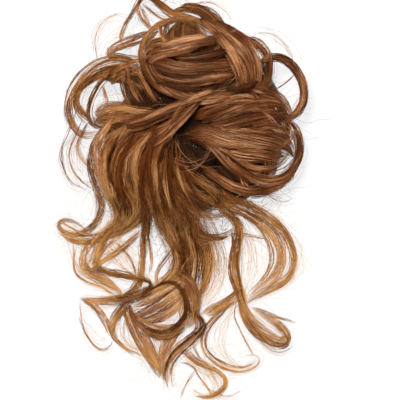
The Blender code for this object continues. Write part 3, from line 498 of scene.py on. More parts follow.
FAN_EDGES = read_locks("""
lattice_left:
first 110 226 7 1, 97 241 6 1, 85 257 5 1, 81 270 5 1
second 142 230 9 1, 127 247 7 1, 109 262 6 1, 93 273 6 1

lattice_right:
first 118 230 8 1, 128 246 7 1, 138 262 7 1, 144 276 7 1
second 96 238 6 1, 106 254 6 1, 120 268 6 1, 134 279 6 1

ringlet_edge:
first 66 234 6 1, 70 256 5 1, 80 275 5 1, 98 286 5 1, 120 298 5 1
second 90 238 6 1, 86 254 5 1, 92 270 5 1, 108 280 5 1, 128 292 6 1

sweep_fan:
first 234 196 27 1, 256 206 19 1, 278 220 11 1, 294 242 6 1, 297 264 5 1, 286 283 5 1, 250 300 6 1
second 222 204 26 1, 240 216 17 1, 254 230 9 1, 264 244 5 1, 266 262 5 1, 260 280 5 1, 244 304 6 1

inside_fan:
first 236 210 20 1, 248 228 12 1, 256 250 5 1, 254 272 4 1, 246 294 5 1
second 226 212 20 1, 236 232 11 1, 242 252 5 1, 242 274 4 1, 241 298 5 1

tail_side:
first 192 206 24 1, 204 232 13 1, 212 256 5 1, 210 280 4 1, 198 306 5 1
second 204 208 22 1, 218 236 11 1, 226 262 4 1, 220 286 4 1, 206 308 4 1

tail_inner:
first 150 214 15 1, 160 236 8 1, 168 256 5 1, 166 274 5 1, 152 288 6 1
second 166 226 14 1, 176 246 9 1, 180 264 8 1, 176 280 8 1, 160 292 8 1

ring_fill:
first 132 316 6 1, 148 322 6 1, 168 316 7 1, 186 296 8 1
second 130 302 6 1, 144 295 8 1, 160 286 9 1, 178 276 10 1

low_fan:
first 134 322 5 1, 141 340 4 1, 151 358 4 1, 160 376 3 1
second 186 328 6 1, 176 343 5 1, 167 358 4 1, 166 384 3 1

low_loops:
first 126 304 6 1, 113 318 5 1, 111 336 4 1, 124 349 4 1, 142 358 4 1, 160 362 4 1
second 136 306 6 1, 127 324 5 1, 126 338 4 1, 136 348 4 1, 150 351 4 1, 164 352 4 1

hook_fan:
first 190 340 7 1, 200 358 5 1, 218 370 4 1, 229 383 4 1, 214 398 4 1, 194 394 4 1
second 176 350 6 1, 190 366 5 1, 206 376 4 1, 214 386 4 1, 204 395 4 1, 190 386 4 1

curl_fan:
first 251 306 11 1, 264 313 12 1, 277 324 12 1, 287 336 12 1
second 249 310 10 1, 257 321 10 1, 268 333 10 1, 281 340 11 1

thin_loop:
first 238 298 5 1, 222 309 4 1, 207 326 4 1, 204 346 4 1, 216 362 4 1, 240 371 4 1, 259 361 4 1
second 243 296 5 1, 234 312 4 1, 226 330 4 1, 224 346 4 1, 230 358 4 1, 242 366 4 1, 256 358 4 1

left_bows:
first 86 130 24 1, 79 146 20 1, 82 162 18 1, 94 178 16 1
second 76 132 18 1, 62 154 12 1, 66 174 9 1, 84 194 9 1

fall_side:
first 100 150 30 1, 90 170 24 1, 92 190 14 1, 98 208 7 1, 90 226 5 1, 70 238 5 1
second 112 150 32 1, 104 172 26 1, 108 192 16 1, 114 210 8 1, 110 226 6 1, 92 242 5 1

loop_fan:
first 138 64 41 1, 118 58 34 1, 98 62 28 1, 82 76 24 1, 71 96 20 1, 70 118 19 1, 82 136 22 1
second 136 72 41 1, 117 70 34 1, 101 76 29 1, 88 88 26 1, 81 104 23 1, 84 118 22 1, 94 128 26 1

apex_fan:
first 142 0 25 1, 152 8 29 1, 166 14 33 1, 184 20 36 1
second 138 4 25 1, 144 16 30 1, 152 28 38 1, 160 38 42 1
""")

# Patches of frizz: where they are, how far they reach, how many hairs, their curl in radians and their tone
FRIZZ_COLUMNS = ("across", "down", "height_mm", "reach", "count", "curl", "tone")
FRIZZ = rows_of("""
  176 38 42 20 50 1.4 0.25, 200 56 54 24 90 1.0 0.20, 243 90 48 16 50 1.0 0.20, 276 122 41 18 60 1.2 0.30,
  236 114 51 28 70 0.8 0.25, 246 146 49 26 30 0.8 0.30, 222 202 25 30 150 1.8 0.30,
  200 190 34 28 150 1.6 0.15, 178 182 40 22 90 1.4 0.25, 192 206 33 26 90 1.4 0.30,
  262 190 26 18 30 1.4 0.40, 150 92 43 16 50 1.2 0.15, 180 152 40 26 60 1.4 0.40, 132 176 37 30 70 1.2 0.30,
  132 200 24 26 70 1.6 0.25, 172 228 16 32 130 1.8 0.25, 112 250 7 28 30 1.0 0.90, 196 262 9 24 50 1.0 0.60,
  158 306 9 26 50 1.0 0.70, 160 352 5 24 30 0.9 0.85, 200 376 4 24 20 0.9 0.90, 256 322 9 26 20 0.8 0.90,
  258 252 7 34 40 0.6 0.90, 96 92 28 22 26 1.2 0.70, 88 214 10 26 16 1.0 0.90, 122 40 26 24 12 1.0 0.80
""".replace(",", " ").split(), FRIZZ_COLUMNS)


class LockKind(Enum):
    """How a lock is combed."""

    BAND = "band"
    LOOP = "loop"
    WISP = "wisp"
    HAIR = "hair"
    TANGLE = "tangle"
    AIRY = "airy"


@dataclass(frozen=True)
class Comb:
    """How the strands of one kind of lock lie.

    Attributes:
        per_mm: strands for each millimetre of the lock's width.
        strand_radius: the radius of a strand at its thickest.
        wobble: how far a strand strays from its neighbours.
        wave: the length of one ripple.
        clumps: smaller locks for each millimetre of width.
        ragged: share of the length over which strands start and stop.
        stray: share of the strands that leave the lock.
        core: share of the lock's section that is filled, or 0.
        stretch: the length of one straight stretch of a strand.
        spray: fine hairs beside the lock for each millimetre of width.
        glow: how light the core's painted shading is, 0 deep painted shade to 1 light.
        gather: share of the strands that draw into smaller locks.
        rim: how much painted shade darkens the strands at its sides.
        end_shade: how much painted shade darkens its ends, where they dive under other locks.
    """

    per_mm: float
    strand_radius: float
    wobble: float
    wave: float
    clumps: float
    ragged: float
    stray: float
    core: float
    stretch: float
    spray: float = 0.0
    glow: float = 0.10
    gather: float = 0.74
    rim: float = 0.15
    end_shade: float = 0.0


COMBS = {
    LockKind.BAND: Comb(
        8.7, 0.125 * MM, 0.65 * MM, 36 * MM, 0.8, 0.12, 0.08, 0.60, 5.0 * MM, 0.4,
        glow=0.20, gather=0.5, end_shade=0.75,
    ),
    LockKind.LOOP: Comb(
        8.4, 0.125 * MM, 0.50 * MM, 30 * MM, 0.9, 0.12, 0.10, 0.0, 4.6 * MM, 0.8,
        gather=0.4, rim=0.35, end_shade=0.3,
    ),
    LockKind.WISP: Comb(
        6.0, 0.115 * MM, 0.45 * MM, 26 * MM, 1.2, 0.14, 0.14, 0.0, 4.4 * MM, 0.9, gather=0.4, rim=0.3
    ),
    LockKind.HAIR: Comb(1.0, 0.095 * MM, 0.50 * MM, 22 * MM, 1, 0.10, 0.00, 0.0, 3.8 * MM),
    LockKind.TANGLE: Comb(
        6.0, 0.138 * MM, 1.60 * MM, 32 * MM, 0.8, 0.24, 0.20, 0.50, 5.2 * MM, 0.8,
        glow=0.12, gather=0.6, rim=0.3,
    ),
    LockKind.AIRY: Comb(
        7.2, 0.120 * MM, 0.75 * MM, 30 * MM, 1.0, 0.12, 0.14, 0.0, 4.6 * MM, 2.0, gather=0.4, rim=0.36
    ),
}

# The greatest widths of a single hair, a wisp and a loop, in grid steps
HAIR_WIDTH, WISP_WIDTH, LOOP_WIDTH = 1, 4.5, 8

# Groups whose wider locks are tangled or airy instead of neatly combed
GROUP_KINDS = {
    "left_fall": LockKind.TANGLE,
    "centre_fall": LockKind.TANGLE,
    **dict.fromkeys(("tail_curls", "left_ringlets", "lower_ringlets"), LockKind.AIRY),
    **dict.fromkeys(("right_tendril", "outer_tendril", "lowest_ringlet"), LockKind.AIRY),
}

# Locks of other groups that are airy too
AIRY_LOCKS = (
    "elbow under_curl gold_one gold_two gold_three under_fan_one under_fan_two under_fan_three fall_curl "
    "straight_end light_loop short_fan lobe_top lobe_low lobe_over lobe_under lobe_fill side_dark_one "
    "side_dark_two neck_dark fall_outer curl_root"
).split()


def kind_of(rows: Rows, name: str, group: str) -> LockKind:
    """Chooses how a lock is combed.

    Args:
        rows: the lock's rows.
        name: its name.
        group: its group's name.

    Returns:
        The kind of lock.
    """
    width = max(row[3] for row in rows)
    if width <= HAIR_WIDTH:
        return LockKind.HAIR
    if width <= WISP_WIDTH:
        return LockKind.WISP
    if name in AIRY_LOCKS:
        return LockKind.AIRY
    if group in GROUP_KINDS:
        return GROUP_KINDS[group]
    return LockKind.LOOP if width <= LOOP_WIDTH else LockKind.BAND


def catmull(near: Array | list[Array], part: Array) -> Array:
    """Finds values on the smooth curve between two rows.

    Args:
        near: the values at the row before the curve, at its start, at its end and at the row after it.
        part: how far along the curve, from 0 to 1.

    Returns:
        The values at part.
    """
    before, here, after, later = near
    slope_here = (after - before) / 2
    slope_after = (later - here) / 2
    rise = after - here
    bend = 3 * rise - 2 * slope_here - slope_after
    turn = slope_here + slope_after - 2 * rise
    return here + part * (slope_here + part * (bend + part * turn))


def unit(vectors: Array) -> Array:
    """Scales vectors, on the array's last axis, to a length of 1."""
    return vectors / np.maximum(np.linalg.norm(vectors, axis=-1, keepdims=True), 1e-12)


def ripples(rng: Chance, run: Array, wave: float) -> Array:
    """Makes smooth random ripples along strands.

    Args:
        rng: the source of chance.
        run: the distance along, a row for each strand and a column for each of its points.
        wave: the length of one ripple.

    Returns:
        A value of about -1 to 1 for each point.
    """
    total = np.zeros_like(run)
    for share, shortest in ((0.6, 1.1), (0.3, 0.6), (0.16, 0.33)):
        length = wave * shortest * rng.uniform(0.8, 1.6, (len(run), 1))
        phase = rng.uniform(0, 2 * math.pi, (len(run), 1))
        total += share * np.sin(2 * math.pi * run / length + phase)
    return total


def smooth_step(value: Array) -> Array:
    """Eases values from 0 to 1, and holds those beyond."""
    held = np.clip(value, 0, 1)
    return held * held * (3 - 2 * held)


@dataclass(frozen=True)
class Layout:
    """The grid that the locks are laid out on."""

    step: float = 0.65 * MM
    middle_across: float = 181.35
    middle_down: float = 196.83

    def place(self, across: Array, down: Array) -> Array:
        """Turns grid steps into metres.

        Args:
            across: steps to the right.
            down: steps towards the curled ends.

        Returns:
            x and y on the last axis.
        """
        x = (np.asarray(across, float) - self.middle_across) * self.step
        y = (self.middle_down - np.asarray(down, float)) * self.step
        return np.stack([x, y], axis=-1)


@dataclass(frozen=True)
class RollForm:
    """The padded roll that carries the locks, a ring round an oval hole."""

    layout: Layout
    across: float = 178.0
    down: float = 127.0
    # the direction and the half sizes of the hole
    turn: float = math.radians(-52)
    hole_long: float = 28.2 * MM
    hole_short: float = 16.2 * MM
    # the height of the section's widest part, as a share of the crown's
    seat: float = 0.42
    # 1 for a round section, less for a squarer one
    squareness: float = 0.75
    floor: float = 0.5 * MM

    @property
    def middle(self) -> Array:
        """The x and y of the ring's middle."""
        return self.layout.place(self.across, self.down)

    def by_direction(self, angle: Array, column: str) -> Array:
        """Reads a size between the rows of ROLL_ROWS, which go once round.

        Args:
            angle: directions from the ring's middle, in radians.
            column: the column's name.

        Returns:
            The size in metres for each direction.
        """
        values = np.array([row[ROLL_COLUMNS.index(column)] for row in ROLL_ROWS]) * MM
        place = (np.degrees(angle) % 360) / 360 * len(values)
        first = np.floor(place).astype(int)
        near = [values[(first + k) % len(values)] for k in (-1, 0, 1, 2)]
        return catmull(near, place - first)

    def shape(self, angle: Array) -> tuple[Array, Array, Array, Array]:
        """Finds the roll's section in each direction.

        Args:
            angle: directions from the ring's middle.

        Returns:
            Its middle radius, half width, crown height and seat height.
        """
        turned = angle - self.turn
        inner = 1 / np.hypot(np.cos(turned) / self.hole_long, np.sin(turned) / self.hole_short)
        outer = self.by_direction(angle, "reach_mm")
        crown = self.by_direction(angle, "crown_mm")
        return (inner + outer) / 2, (outer - inner) / 2, crown, crown * self.seat

    def squared(self, value: Array) -> Array:
        """Pulls a sine or cosine towards 1, which squares off a round section."""
        return np.sign(value) * np.abs(value) ** self.squareness

    def skin(self, angle: Array, turn: Array, swell: Array | float) -> Array:
        """Finds points on or near the roll's skin.

        Args:
            angle: directions round the ring.
            turn: directions round the roll's section, 0 outwards and a quarter turn upwards.
            swell: how far outside the skin the points lie.

        Returns:
            The points, with x, y, z on the last axis.
        """
        middle, half, crown, seat = self.shape(angle)
        out, up = np.cos(turn), np.sin(turn)
        radius = middle + half * self.squared(out) + swell * out
        rise = np.where(up > 0, crown - seat, seat)
        height = seat + rise * self.squared(up) + swell * up
        x = self.middle[0] + radius * np.cos(angle)
        y = self.middle[1] + radius * np.sin(angle)
        return np.stack([x, y, np.maximum(height, self.floor)], axis=-1)

    def top(self, points: Array) -> Array:
        """Finds the height of the skin under points.

        Args:
            points: x and y on the last axis.

        Returns:
            The heights, 0 where a point is beside the roll.
        """
        offset = points[..., :2] - self.middle
        angle = np.arctan2(offset[..., 1], offset[..., 0])
        middle, half, crown, seat = self.shape(angle)
        out = np.abs(np.hypot(offset[..., 0], offset[..., 1]) - middle) / half
        inside = np.clip(out, 0, 1) ** (1 / self.squareness)
        height = seat + (crown - seat) * self.squared(np.sqrt(1 - inside * inside))
        return np.where(out < 1, height, 0.0)


@dataclass
class LockPath:
    """The line that a lock follows, with its half width at each point."""

    points: Array
    half: Array
    flatness: float = 0.62

    @classmethod
    def laid(cls, rows: Rows, roll: RollForm) -> "LockPath":
        """Draws the curve through a lock's rows and lays it on the roll or on the table.

        Args:
            rows: the lock's rows.
            roll: the roll that carries it.

        Returns:
            The laid path, part of whose thickness sinks into the roll.
        """
        step, sink, smoothings = 2.4 * MM, 0.35, 8
        table = np.array(rows)
        places = roll.layout.place(table[:, 0], table[:, 1])
        half = table[:, 3:] * roll.layout.step / 2
        knots = np.hstack([places, table[:, 2:3] * MM, half])
        knots = np.vstack([2 * knots[0] - knots[1], knots, 2 * knots[-1] - knots[-2]])
        parts = np.arange(12)[:, None] / 12
        fine = [catmull(knots[k - 1 : k + 3], parts) for k in range(1, len(knots) - 2)]
        fine = np.vstack([*fine, knots[-2]])
        run = np.concatenate([[0], np.cumsum(np.linalg.norm(np.diff(fine[:, :3], axis=0), axis=1))])
        marks = np.linspace(0, run[-1], max(5, round(run[-1] / step) + 1))
        path = np.stack([np.interp(marks, run, fine[:, k]) for k in range(4)], axis=1)
        thickness = np.abs(path[:, 3]) * cls.flatness
        carried = roll.top(path[:, :2])
        path[:, 2] = np.maximum(path[:, 2], np.where(carried > 0, carried + sink * thickness, thickness))
        for _ in range(smoothings):
            path[1:-1, 2] = (path[:-2, 2] + 2 * path[1:-1, 2] + path[2:, 2]) / 4
        path[:, 2] = np.maximum(path[:, 2], thickness + 0.1 * MM)
        return cls(path[:, :3], np.maximum(path[:, 3], 0.2 * MM))

    @property
    def length(self) -> float:
        """The length of the path in metres."""
        return float(np.linalg.norm(np.diff(self.points, axis=0), axis=1).sum())

    def count_across(self, per_mm: float) -> int:
        """How many fit across the greatest width, at so many a millimetre."""
        return round(per_mm * 2 * float(self.half.max()) / MM)

    def at(self, part: Array) -> tuple[Array, Array, Array, Array]:
        """Reads the path between its points.

        Args:
            part: how far along, from 0 to 1, in an array of any shape.

        Returns:
            The points, the sideways and upward directions, and the half widths.
        """
        tangent = unit(np.gradient(self.points, axis=0))
        up = unit(np.array(UPWARD) - tangent * tangent[:, 2:3])
        side = np.cross(tangent, up)
        low, share, half = self._between(part)
        mixed = [values[low] * (1 - share) + values[low + 1] * share for values in (self.points, side, up)]
        return mixed[0], unit(mixed[1]), unit(mixed[2]), half

    def _between(self, part: Array) -> tuple[Array, Array, Array]:
        """Finds where places along the path lie between its points.

        Args:
            part: how far along, from 0 to 1.

        Returns:
            The number of the point before each, the share of the way on from it, and the half width.
        """
        place = np.clip(part, 0, 1) * (len(self.points) - 1)
        low = np.clip(np.floor(place).astype(int), 0, len(self.points) - 2)
        share = place - low
        return low, share[..., None], self.half[low] * (1 - share) + self.half[low + 1] * share


@dataclass
class Tress:
    """Gathers strands and cores, and makes one mesh of them."""

    points: list[Array] = field(default_factory=list)
    faces: list[Array] = field(default_factory=list)
    caps: list[Array] = field(default_factory=list)
    marks: list[Array] = field(default_factory=list)
    strips: list[tuple[int, int]] = field(default_factory=list)
    count: int = 0

    def add_tubes(self, lines: Array, radius: Array, tone: Array, depth: Array, along: Array) -> None:
        """Adds closed three-sided tubes.

        Args:
            lines: the strands' points, with axes strand, point and x, y, z.
            radius: the radius at each point.
            tone: a tone for each strand, 0 dark to 1 light.
            shading: painted light and shade, 0 for points painted in deep shade inside a lock to 1 for those
                lit at its face.
            along: 0 at a strand's root to 1 at its tip, at each point.
        """
        strands, steps = lines.shape[:2]
        tangent = unit(np.gradient(lines, axis=1))
        normal = np.empty_like(tangent)
        steep = np.abs(tangent[:, 0, 2:]) >= 0.9
        carried = np.where(steep, [[1.0, 0.0, 0.0]], [UPWARD])
        for k in range(steps):
            ahead = tangent[:, k]
            carried = unit(carried - ahead * (carried * ahead).sum(axis=1, keepdims=True))
            normal[:, k] = carried
        across = np.cross(tangent, normal)
        turns = 2 * math.pi * np.arange(3) / 3 + (np.arange(strands) * 2.4)[:, None]
        cos = np.cos(turns)[:, None, :, None]
        sin = np.sin(turns)[:, None, :, None]
        outward = cos * normal[:, :, None] + sin * across[:, :, None]
        self.add_rings(lines[:, :, None] + radius[..., None, None] * outward, tone, depth, along)

    def lay_tubes(self, lines: Array, radius: Array, tone: Array, depth: Array, along: Array) -> None:
        """Adds tubes as add_tubes does, lifted where they would touch the table."""
        lines[..., 2] = np.maximum(lines[..., 2], radius + CLEARANCE)
        self.add_tubes(lines, radius, tone, depth, along)

    def add_core(self, path: LockPath, share: float, tone: float, glow: float, rng: Chance) -> None:
        """Adds the filled middle of a lock, ridged along its length.

        Args:
            path: the lock's path.
            share: the core's size as a share of the lock's section.
            tone: its tone.
            glow: how light its painted shading is, 0 deep painted shade to 1 light; it darkens the core's
                tone too.
            rng: the source of chance.
        """
        sides = 14
        steps = max(5, round(path.length / (3.5 * MM)) + 1)
        part = np.linspace(0.015, 0.985, steps)[None]
        centre, side, up, half = path.at(part)
        ends = np.clip(np.minimum(part / 0.10, (1 - part) / 0.22), 0.02, 1) ** 0.6
        turns = 2 * math.pi * np.arange(sides) / sides
        cos, sin = np.cos(turns)[:, None], np.sin(turns)[:, None]
        groove = 0.10 * np.sign(np.sin(turns * sides / 2 + 0.1)) * rng.uniform(0.2, 1, sides)
        drift = ripples(rng, np.repeat(part * path.length, sides, axis=0), 26 * MM).T
        width = (half * share * ends)[..., None, None] * (1 + groove + 0.07 * drift)[None, ..., None]
        # side is tangent x up, so the ring runs from up to -side for faces that look out
        ring = centre[:, :, None] - width * sin * side[:, :, None]
        ring = ring + width * path.flatness * cos * up[:, :, None]
        ring[..., 2] = np.maximum(ring[..., 2], 0.12 * MM)
        # the core is darkened as painted shade inside the lock
        self.add_rings(ring, np.array([tone * (0.5 + glow)]), np.full(part.shape, glow), part)

    def add_rings(self, ring: Array, tone: Array, depth: Array, along: Array) -> None:
        """Joins rings of points into closed tubes.

        Args:
            ring: points with axes strand, step, side and x, y, z.
            tone: a tone for each strand.
            shading: the painted light and shade for each strand and step.
            along: a place along for each strand and step.
        """
        strands, steps, sides = ring.shape[:3]
        index = self.count + np.arange(strands * steps * sides).reshape(strands, steps, sides)
        onward = np.roll(index, -1, axis=2)
        quads = np.stack([index[:, :-1], onward[:, :-1], onward[:, 1:], index[:, 1:]], axis=-1)
        self.faces.append(quads.reshape(-1, 4))
        self.caps.append((index[:, 0, ::-1], index[:, -1]))
        shape = (strands, steps, sides)
        marks = np.empty((*shape, 6), np.float32)
        marks[..., 0] = tone[:, None, None]
        marks[..., 1] = depth[..., None]
        marks[..., 2] = along[..., None]
        marks[..., 3] = (0.02 + 0.96 * along)[..., None]
        strand = np.arange(strands)[:, None, None]
        side = np.arange(sides) / sides
        marks[..., 4] = (strand + 0.2 + 0.6 * side) / strands
        marks[..., 5] = side if sides > 3 else strand % 97 / 97
        self.points.append(ring.reshape(-1, 3))
        self.marks.append(marks.reshape(-1, 6))
        self.strips.append((self.count, self.count + ring.size // 3))
        self.count += ring.size // 3

    def mesh(self, name: str) -> bpy.types.Mesh:
        """Makes the mesh.

        Args:
            name: the mesh's name.

        Returns:
            The mesh, whose point attributes and UV map hold what the finishes read.
        """
        points = np.concatenate(self.points).astype(np.float32)
        marks = np.concatenate(self.marks)
        for number, (first, last) in enumerate(self.strips):
            marks[first:last, 4] = (number + 0.04 + 0.92 * marks[first:last, 4]) / len(self.strips)
        corners = [faces.ravel() for faces in self.faces]
        totals = [np.full(len(faces), 4) for faces in self.faces]
        for pair in self.caps:
            for cap in pair:
                corners.append(cap.ravel())
                totals.append(np.full(len(cap), cap.shape[1]))
        corners = np.concatenate(corners).astype(np.int32)
        totals = np.concatenate(totals).astype(np.int32)
        starts = np.concatenate([[0], np.cumsum(totals)[:-1]]).astype(np.int32)
        made = bpy.data.meshes.new(name)
        made.vertices.add(len(points))
        made.vertices.foreach_set("co", points.ravel())
        made.loops.add(len(corners))
        made.loops.foreach_set("vertex_index", corners)
        made.polygons.add(len(totals))
        made.polygons.foreach_set("loop_start", starts)
        made.polygons.foreach_set("loop_total", totals)
        made.update(calc_edges=True)
        made.polygons.foreach_set("use_smooth", np.ones(len(totals), bool))
        # the shading attribute carries the painted light and shade into the finishes' colour
        for column, title in ((0, "tone"), (1, "depth"), (2, "along"), (5, "round")):
            layer = made.attributes.new(title, "FLOAT", "POINT")
            layer.data.foreach_set("value", np.ascontiguousarray(marks[:, column]))
        layer = made.uv_layers.new(name="OFBake")
        layer.data.foreach_set("uv", np.ascontiguousarray(marks[corners][:, 3:5]).ravel())
        made.validate()
        return made

    @property
    def triangles(self) -> int:
        """How many triangles the mesh will have."""
        sides = sum(2 * len(faces) for faces in self.faces)
        return sides + sum(cap.shape[0] * (cap.shape[1] - 2) for pair in self.caps for cap in pair)


@dataclass
class Hairdresser:
    """Combs strands along lock paths."""

    roll: RollForm
    seed: int = 11
    fan_radius: float = 0.100 * MM
    spray_radius: float = 0.090 * MM
    fuzz_radius: float = 0.075 * MM
    # groups whose locks start under the crossing ones, as far down as root_limit
    rooted: tuple[str, ...] = ("left_fall", "centre_fall")
    root_limit: float = 190.0
    # share of a group's locks, from their roots, that lies under others and is darkened with painted shade
    shaded: dict[str, float] = field(default_factory=lambda: {
        "left_fall": 0.15, "centre_fall": 0.42, "outer_tendril": 0.26, "right_tendril": 0.20,
    })

    def _chance(self, name: str) -> Chance:
        """Makes the source of chance that goes with a name."""
        return np.random.default_rng([self.seed, *name.encode()])

    def comb(self, tress: Tress, rows: Rows, name: str, group: str = "") -> None:
        """Combs one lock into a tress.

        Args:
            tress: what the strands are added to.
            rows: the lock's rows.
            name: its name, from which its chance is drawn.
            group: its group's name.
        """
        rng = self._chance(name)
        shaded = self.shaded.get(group, 0.0)
        if group in self.rooted and rows[0][1] < self.root_limit:
            first, second = rows[:2]
            # a longer root, lower and narrower than the first place
            across, down = (first[k] - 1.1 * (second[k] - first[k]) for k in (0, 1))
            rows = [[across, down, first[2] - 4, first[3] * 0.7], *rows]
        path = LockPath.laid(rows, self.roll)
        comb = COMBS[kind_of(rows, name, group)]
        self.comb_path(tress, path, comb, rng, LOCK_TONES.get(name, rng.uniform(0.32, 0.68)), shaded)

    def comb_path(
        self, tress: Tress, path: LockPath, comb: Comb, rng: Chance, tone: float, shaded: float = 0.0
    ) -> None:
        """Combs strands along a path.

        Args:
            tress: what the strands are added to.
            path: the lock's path.
            comb: how its strands lie.
            rng: the source of chance.
            tone: the lock's tone.
            shaded: share of the lock, from its root, that lies under others and is darkened with painted
                shade.
        """
        if comb.core:
            tress.add_core(path, comb.core, tone, comb.glow, rng)
        count = max(1, path.count_across(comb.per_mm))
        clumps = max(1, path.count_across(comb.clumps))
        steps = max(6, round(path.length / comb.stretch) + 1)
        start = comb.ragged * rng.uniform(0, 1, (count, 1)) ** 2
        stop = 1 - comb.ragged * rng.uniform(0, 1, (count, 1)) ** 1.5
        along = np.linspace(0, 1, steps)[None]
        part = start + (stop - start) * along
        centre, side, up, half = path.at(part)
        run = part * path.length
        member = rng.integers(0, clumps, count)
        sideways, upwards = self._gathered(comb, rng, run, member, clumps)
        ends = smooth_step(part / 0.08 + 0.35) * smooth_step((1 - part) / 0.16 + 0.25)
        clump_sway = ripples(rng, np.repeat(run[:1], clumps, axis=0), comb.wave * 1.3)[member]
        loose = np.where(rng.uniform(0, 1, (count, 1)) < comb.stray, 3.2, 1.0)
        sway = comb.wobble * (clump_sway + 0.35 * loose * ripples(rng, run, comb.wave))
        bob = comb.wobble * 0.35 * loose * ripples(rng, run, comb.wave)
        lines = centre + side * (sideways * half * ends + sway)[..., None]
        lines += up * (upwards * half * path.flatness * ends + bob)[..., None]
        taper = smooth_step(along / 0.05 + 0.3) * (0.25 + 0.75 * smooth_step((1 - along) / 0.2))
        radius = comb.strand_radius * rng.uniform(0.75, 1.2, (count, 1)) * taper
        clump_tone = rng.normal(0, 0.15, clumps)[member]
        tones = np.clip(tone + clump_tone + rng.normal(0, 0.13, count), 0, 1)
        # painted light and shade: strands at the lock's sides darker, those nearer its top lighter, plus the
        # painted highlights of _light
        rim = comb.rim * (smooth_step(np.abs(sideways) * 1.3 - 0.25) - 0.35)
        depth = np.clip(0.41 + 0.22 * upwards + self._light(path, rng, part, centre[..., 2]) - rim, 0, 1)
        # painted shade at both ends of the lock
        depth *= 1 - comb.end_shade * (1 - smooth_step(np.minimum(part, 1 - part) / 0.20 + 0.1))
        # dark locks: their painted shading is cut further, deepening the painted shade
        if tone < DARK:
            depth *= 0.35
        # painted shade over the root, where the lock lies under others
        if shaded:
            depth *= 0.3 + 0.7 * smooth_step((part - 0.3 * shaded) / shaded)
        tress.lay_tubes(lines, radius, tones, depth, part)
        if tone > DARK:
            self._add_fuzz(tress, path, rng, count)
            self._add_spray(tress, path, comb, rng)

    def _gathered(self, comb: Comb, rng: Chance, run: Array, member: Array, clumps: int) -> list[Array]:
        """Draws strands into smaller locks that wind about each other.

        Args:
            comb: how the strands lie.
            rng: the source of chance.
            run: the distance along the lock at each point of each strand.
            member: the number of the smaller lock that each strand is in.
            clumps: how many smaller locks there are.

        Returns:
            Each point's sideways and upward offset, as shares of the lock's half size.
        """
        count = len(member)
        bearing = rng.uniform(0, 2 * math.pi, clumps)
        reach = 0.92 * np.sqrt(rng.uniform(0.03, 1, clumps)) * (clumps > 1)
        spread = np.where(rng.uniform(0, 1, count) < comb.gather, 1.1 / (clumps + 2), 0.5)
        sideways = (reach * np.cos(bearing))[member] + spread * rng.normal(0, 1, count)
        upwards = (reach * np.sin(bearing))[member] + spread * rng.normal(0, 1, count)
        beyond = np.maximum(1, np.hypot(sideways, upwards))
        sideways, upwards = (sideways / beyond)[:, None], (upwards / beyond)[:, None]
        spin = rng.choice([-1, 1]) * rng.uniform(0.15, 0.5) * (run / (60 * MM) - 0.5) * math.pi
        cos, sin = np.cos(spin), np.sin(spin)
        return [sideways * cos - upwards * sin, sideways * sin + upwards * cos]

    def _light(self, path: LockPath, rng: Chance, part: Array, height: Array) -> Array:
        """Paints how a lock catches the light: a painted highlight at its crest, and painted light and shade
        in bands across it.

        Args:
            path: the lock's path.
            rng: the source of chance.
            part: how far along each point of each strand is.
            height: the height of the lock's middle there.

        Returns:
            What to add to the painted shading of each point.
        """
        climb = float(np.ptp(path.points[:, 2]))
        hilly = min(climb / (8 * MM), 1)
        crest = smooth_step((height - path.points[:, 2].min()) / max(climb, 1 * MM))
        crest = (crest * hilly + 0.75 * (1 - hilly)) * smooth_step(part / 0.15)
        pitch, phase = rng.uniform(34, 56) * MM, rng.uniform(0, 2 * math.pi)
        run = part * path.length + rng.normal(0, 3 * MM, (len(part), 1))
        return 0.30 * crest + 0.36 * np.sin(2 * math.pi * run / pitch + phase)

    def fan(self, tress: Tress, name: str, count: int, tone: float) -> None:
        """Adds single hairs spread between two edges.

        Args:
            tress: what they are added to.
            name: the fan's name, from which its chance is drawn.
            count: how many hairs.
            tone: their tone.
        """
        rng = self._chance(name)
        edges = [LockPath.laid(rows, self.roll) for rows in FAN_EDGES[name].values()]
        length = (edges[0].length + edges[1].length) / 2
        along = np.linspace(0, 1, max(8, round(length / (4 * MM)) + 1))[None]
        start = 0.35 * rng.uniform(0, 1, (count, 1)) ** 2
        stop = 1 - 0.45 * rng.uniform(0, 1, (count, 1)) ** 2
        part = start + (stop - start) * along
        share = rng.uniform(-0.08, 1.08, (count, 1)) + 0.22 * ripples(rng, part * length, 60 * MM)
        ends = [edge.at(part)[0] for edge in edges]
        lines = ends[0] * (1 - share[..., None]) + ends[1] * share[..., None]
        sway = np.stack([ripples(rng, part * length, 22 * MM) for _ in range(3)], axis=-1)
        lines = lines + 0.5 * MM * sway
        radius = self.fan_radius * rng.uniform(0.7, 1.25, (count, 1)) * (1 - 0.3 * along)
        tones = np.clip(tone + rng.normal(0, 0.2, count), 0, 1)
        tress.lay_tubes(lines, radius, tones, np.full(part.shape, 0.85), part)

    def _add_spray(self, tress: Tress, path: LockPath, comb: Comb, rng: Chance) -> None:
        """Adds long fine hairs that follow a lock at a distance.

        Args:
            tress: what they are added to.
            path: the lock's path.
            comb: how its strands lie.
            rng: the source of chance.
        """
        count = max(2, path.count_across(comb.spray))
        steps = max(8, round(path.length / (5 * MM)) + 1)
        first = rng.uniform(0, 0.5, (count, 1))
        last = np.minimum(first + rng.uniform(0.4, 0.9, (count, 1)), 1)
        along = np.linspace(0, 1, steps)[None]
        part = first + (last - first) * along
        centre, side, up, half = path.at(part)
        run = part * path.length
        reach = rng.normal(0, 2.4, (count, 1)) * MM * (0.3 + along)
        sway = reach + 1.9 * MM * ripples(rng, run, 42 * MM) + 0.4 * MM * ripples(rng, run, 13 * MM)
        bob = 1.2 * MM * ripples(rng, run, 36 * MM)
        lines = centre + side * sway[..., None] + up * bob[..., None]
        radius = self.spray_radius * rng.uniform(0.7, 1.3, (count, 1)) * (1 - 0.3 * along)
        tress.lay_tubes(lines, radius, rng.uniform(0.4, 1.0, count), np.full(part.shape, 0.9), part)

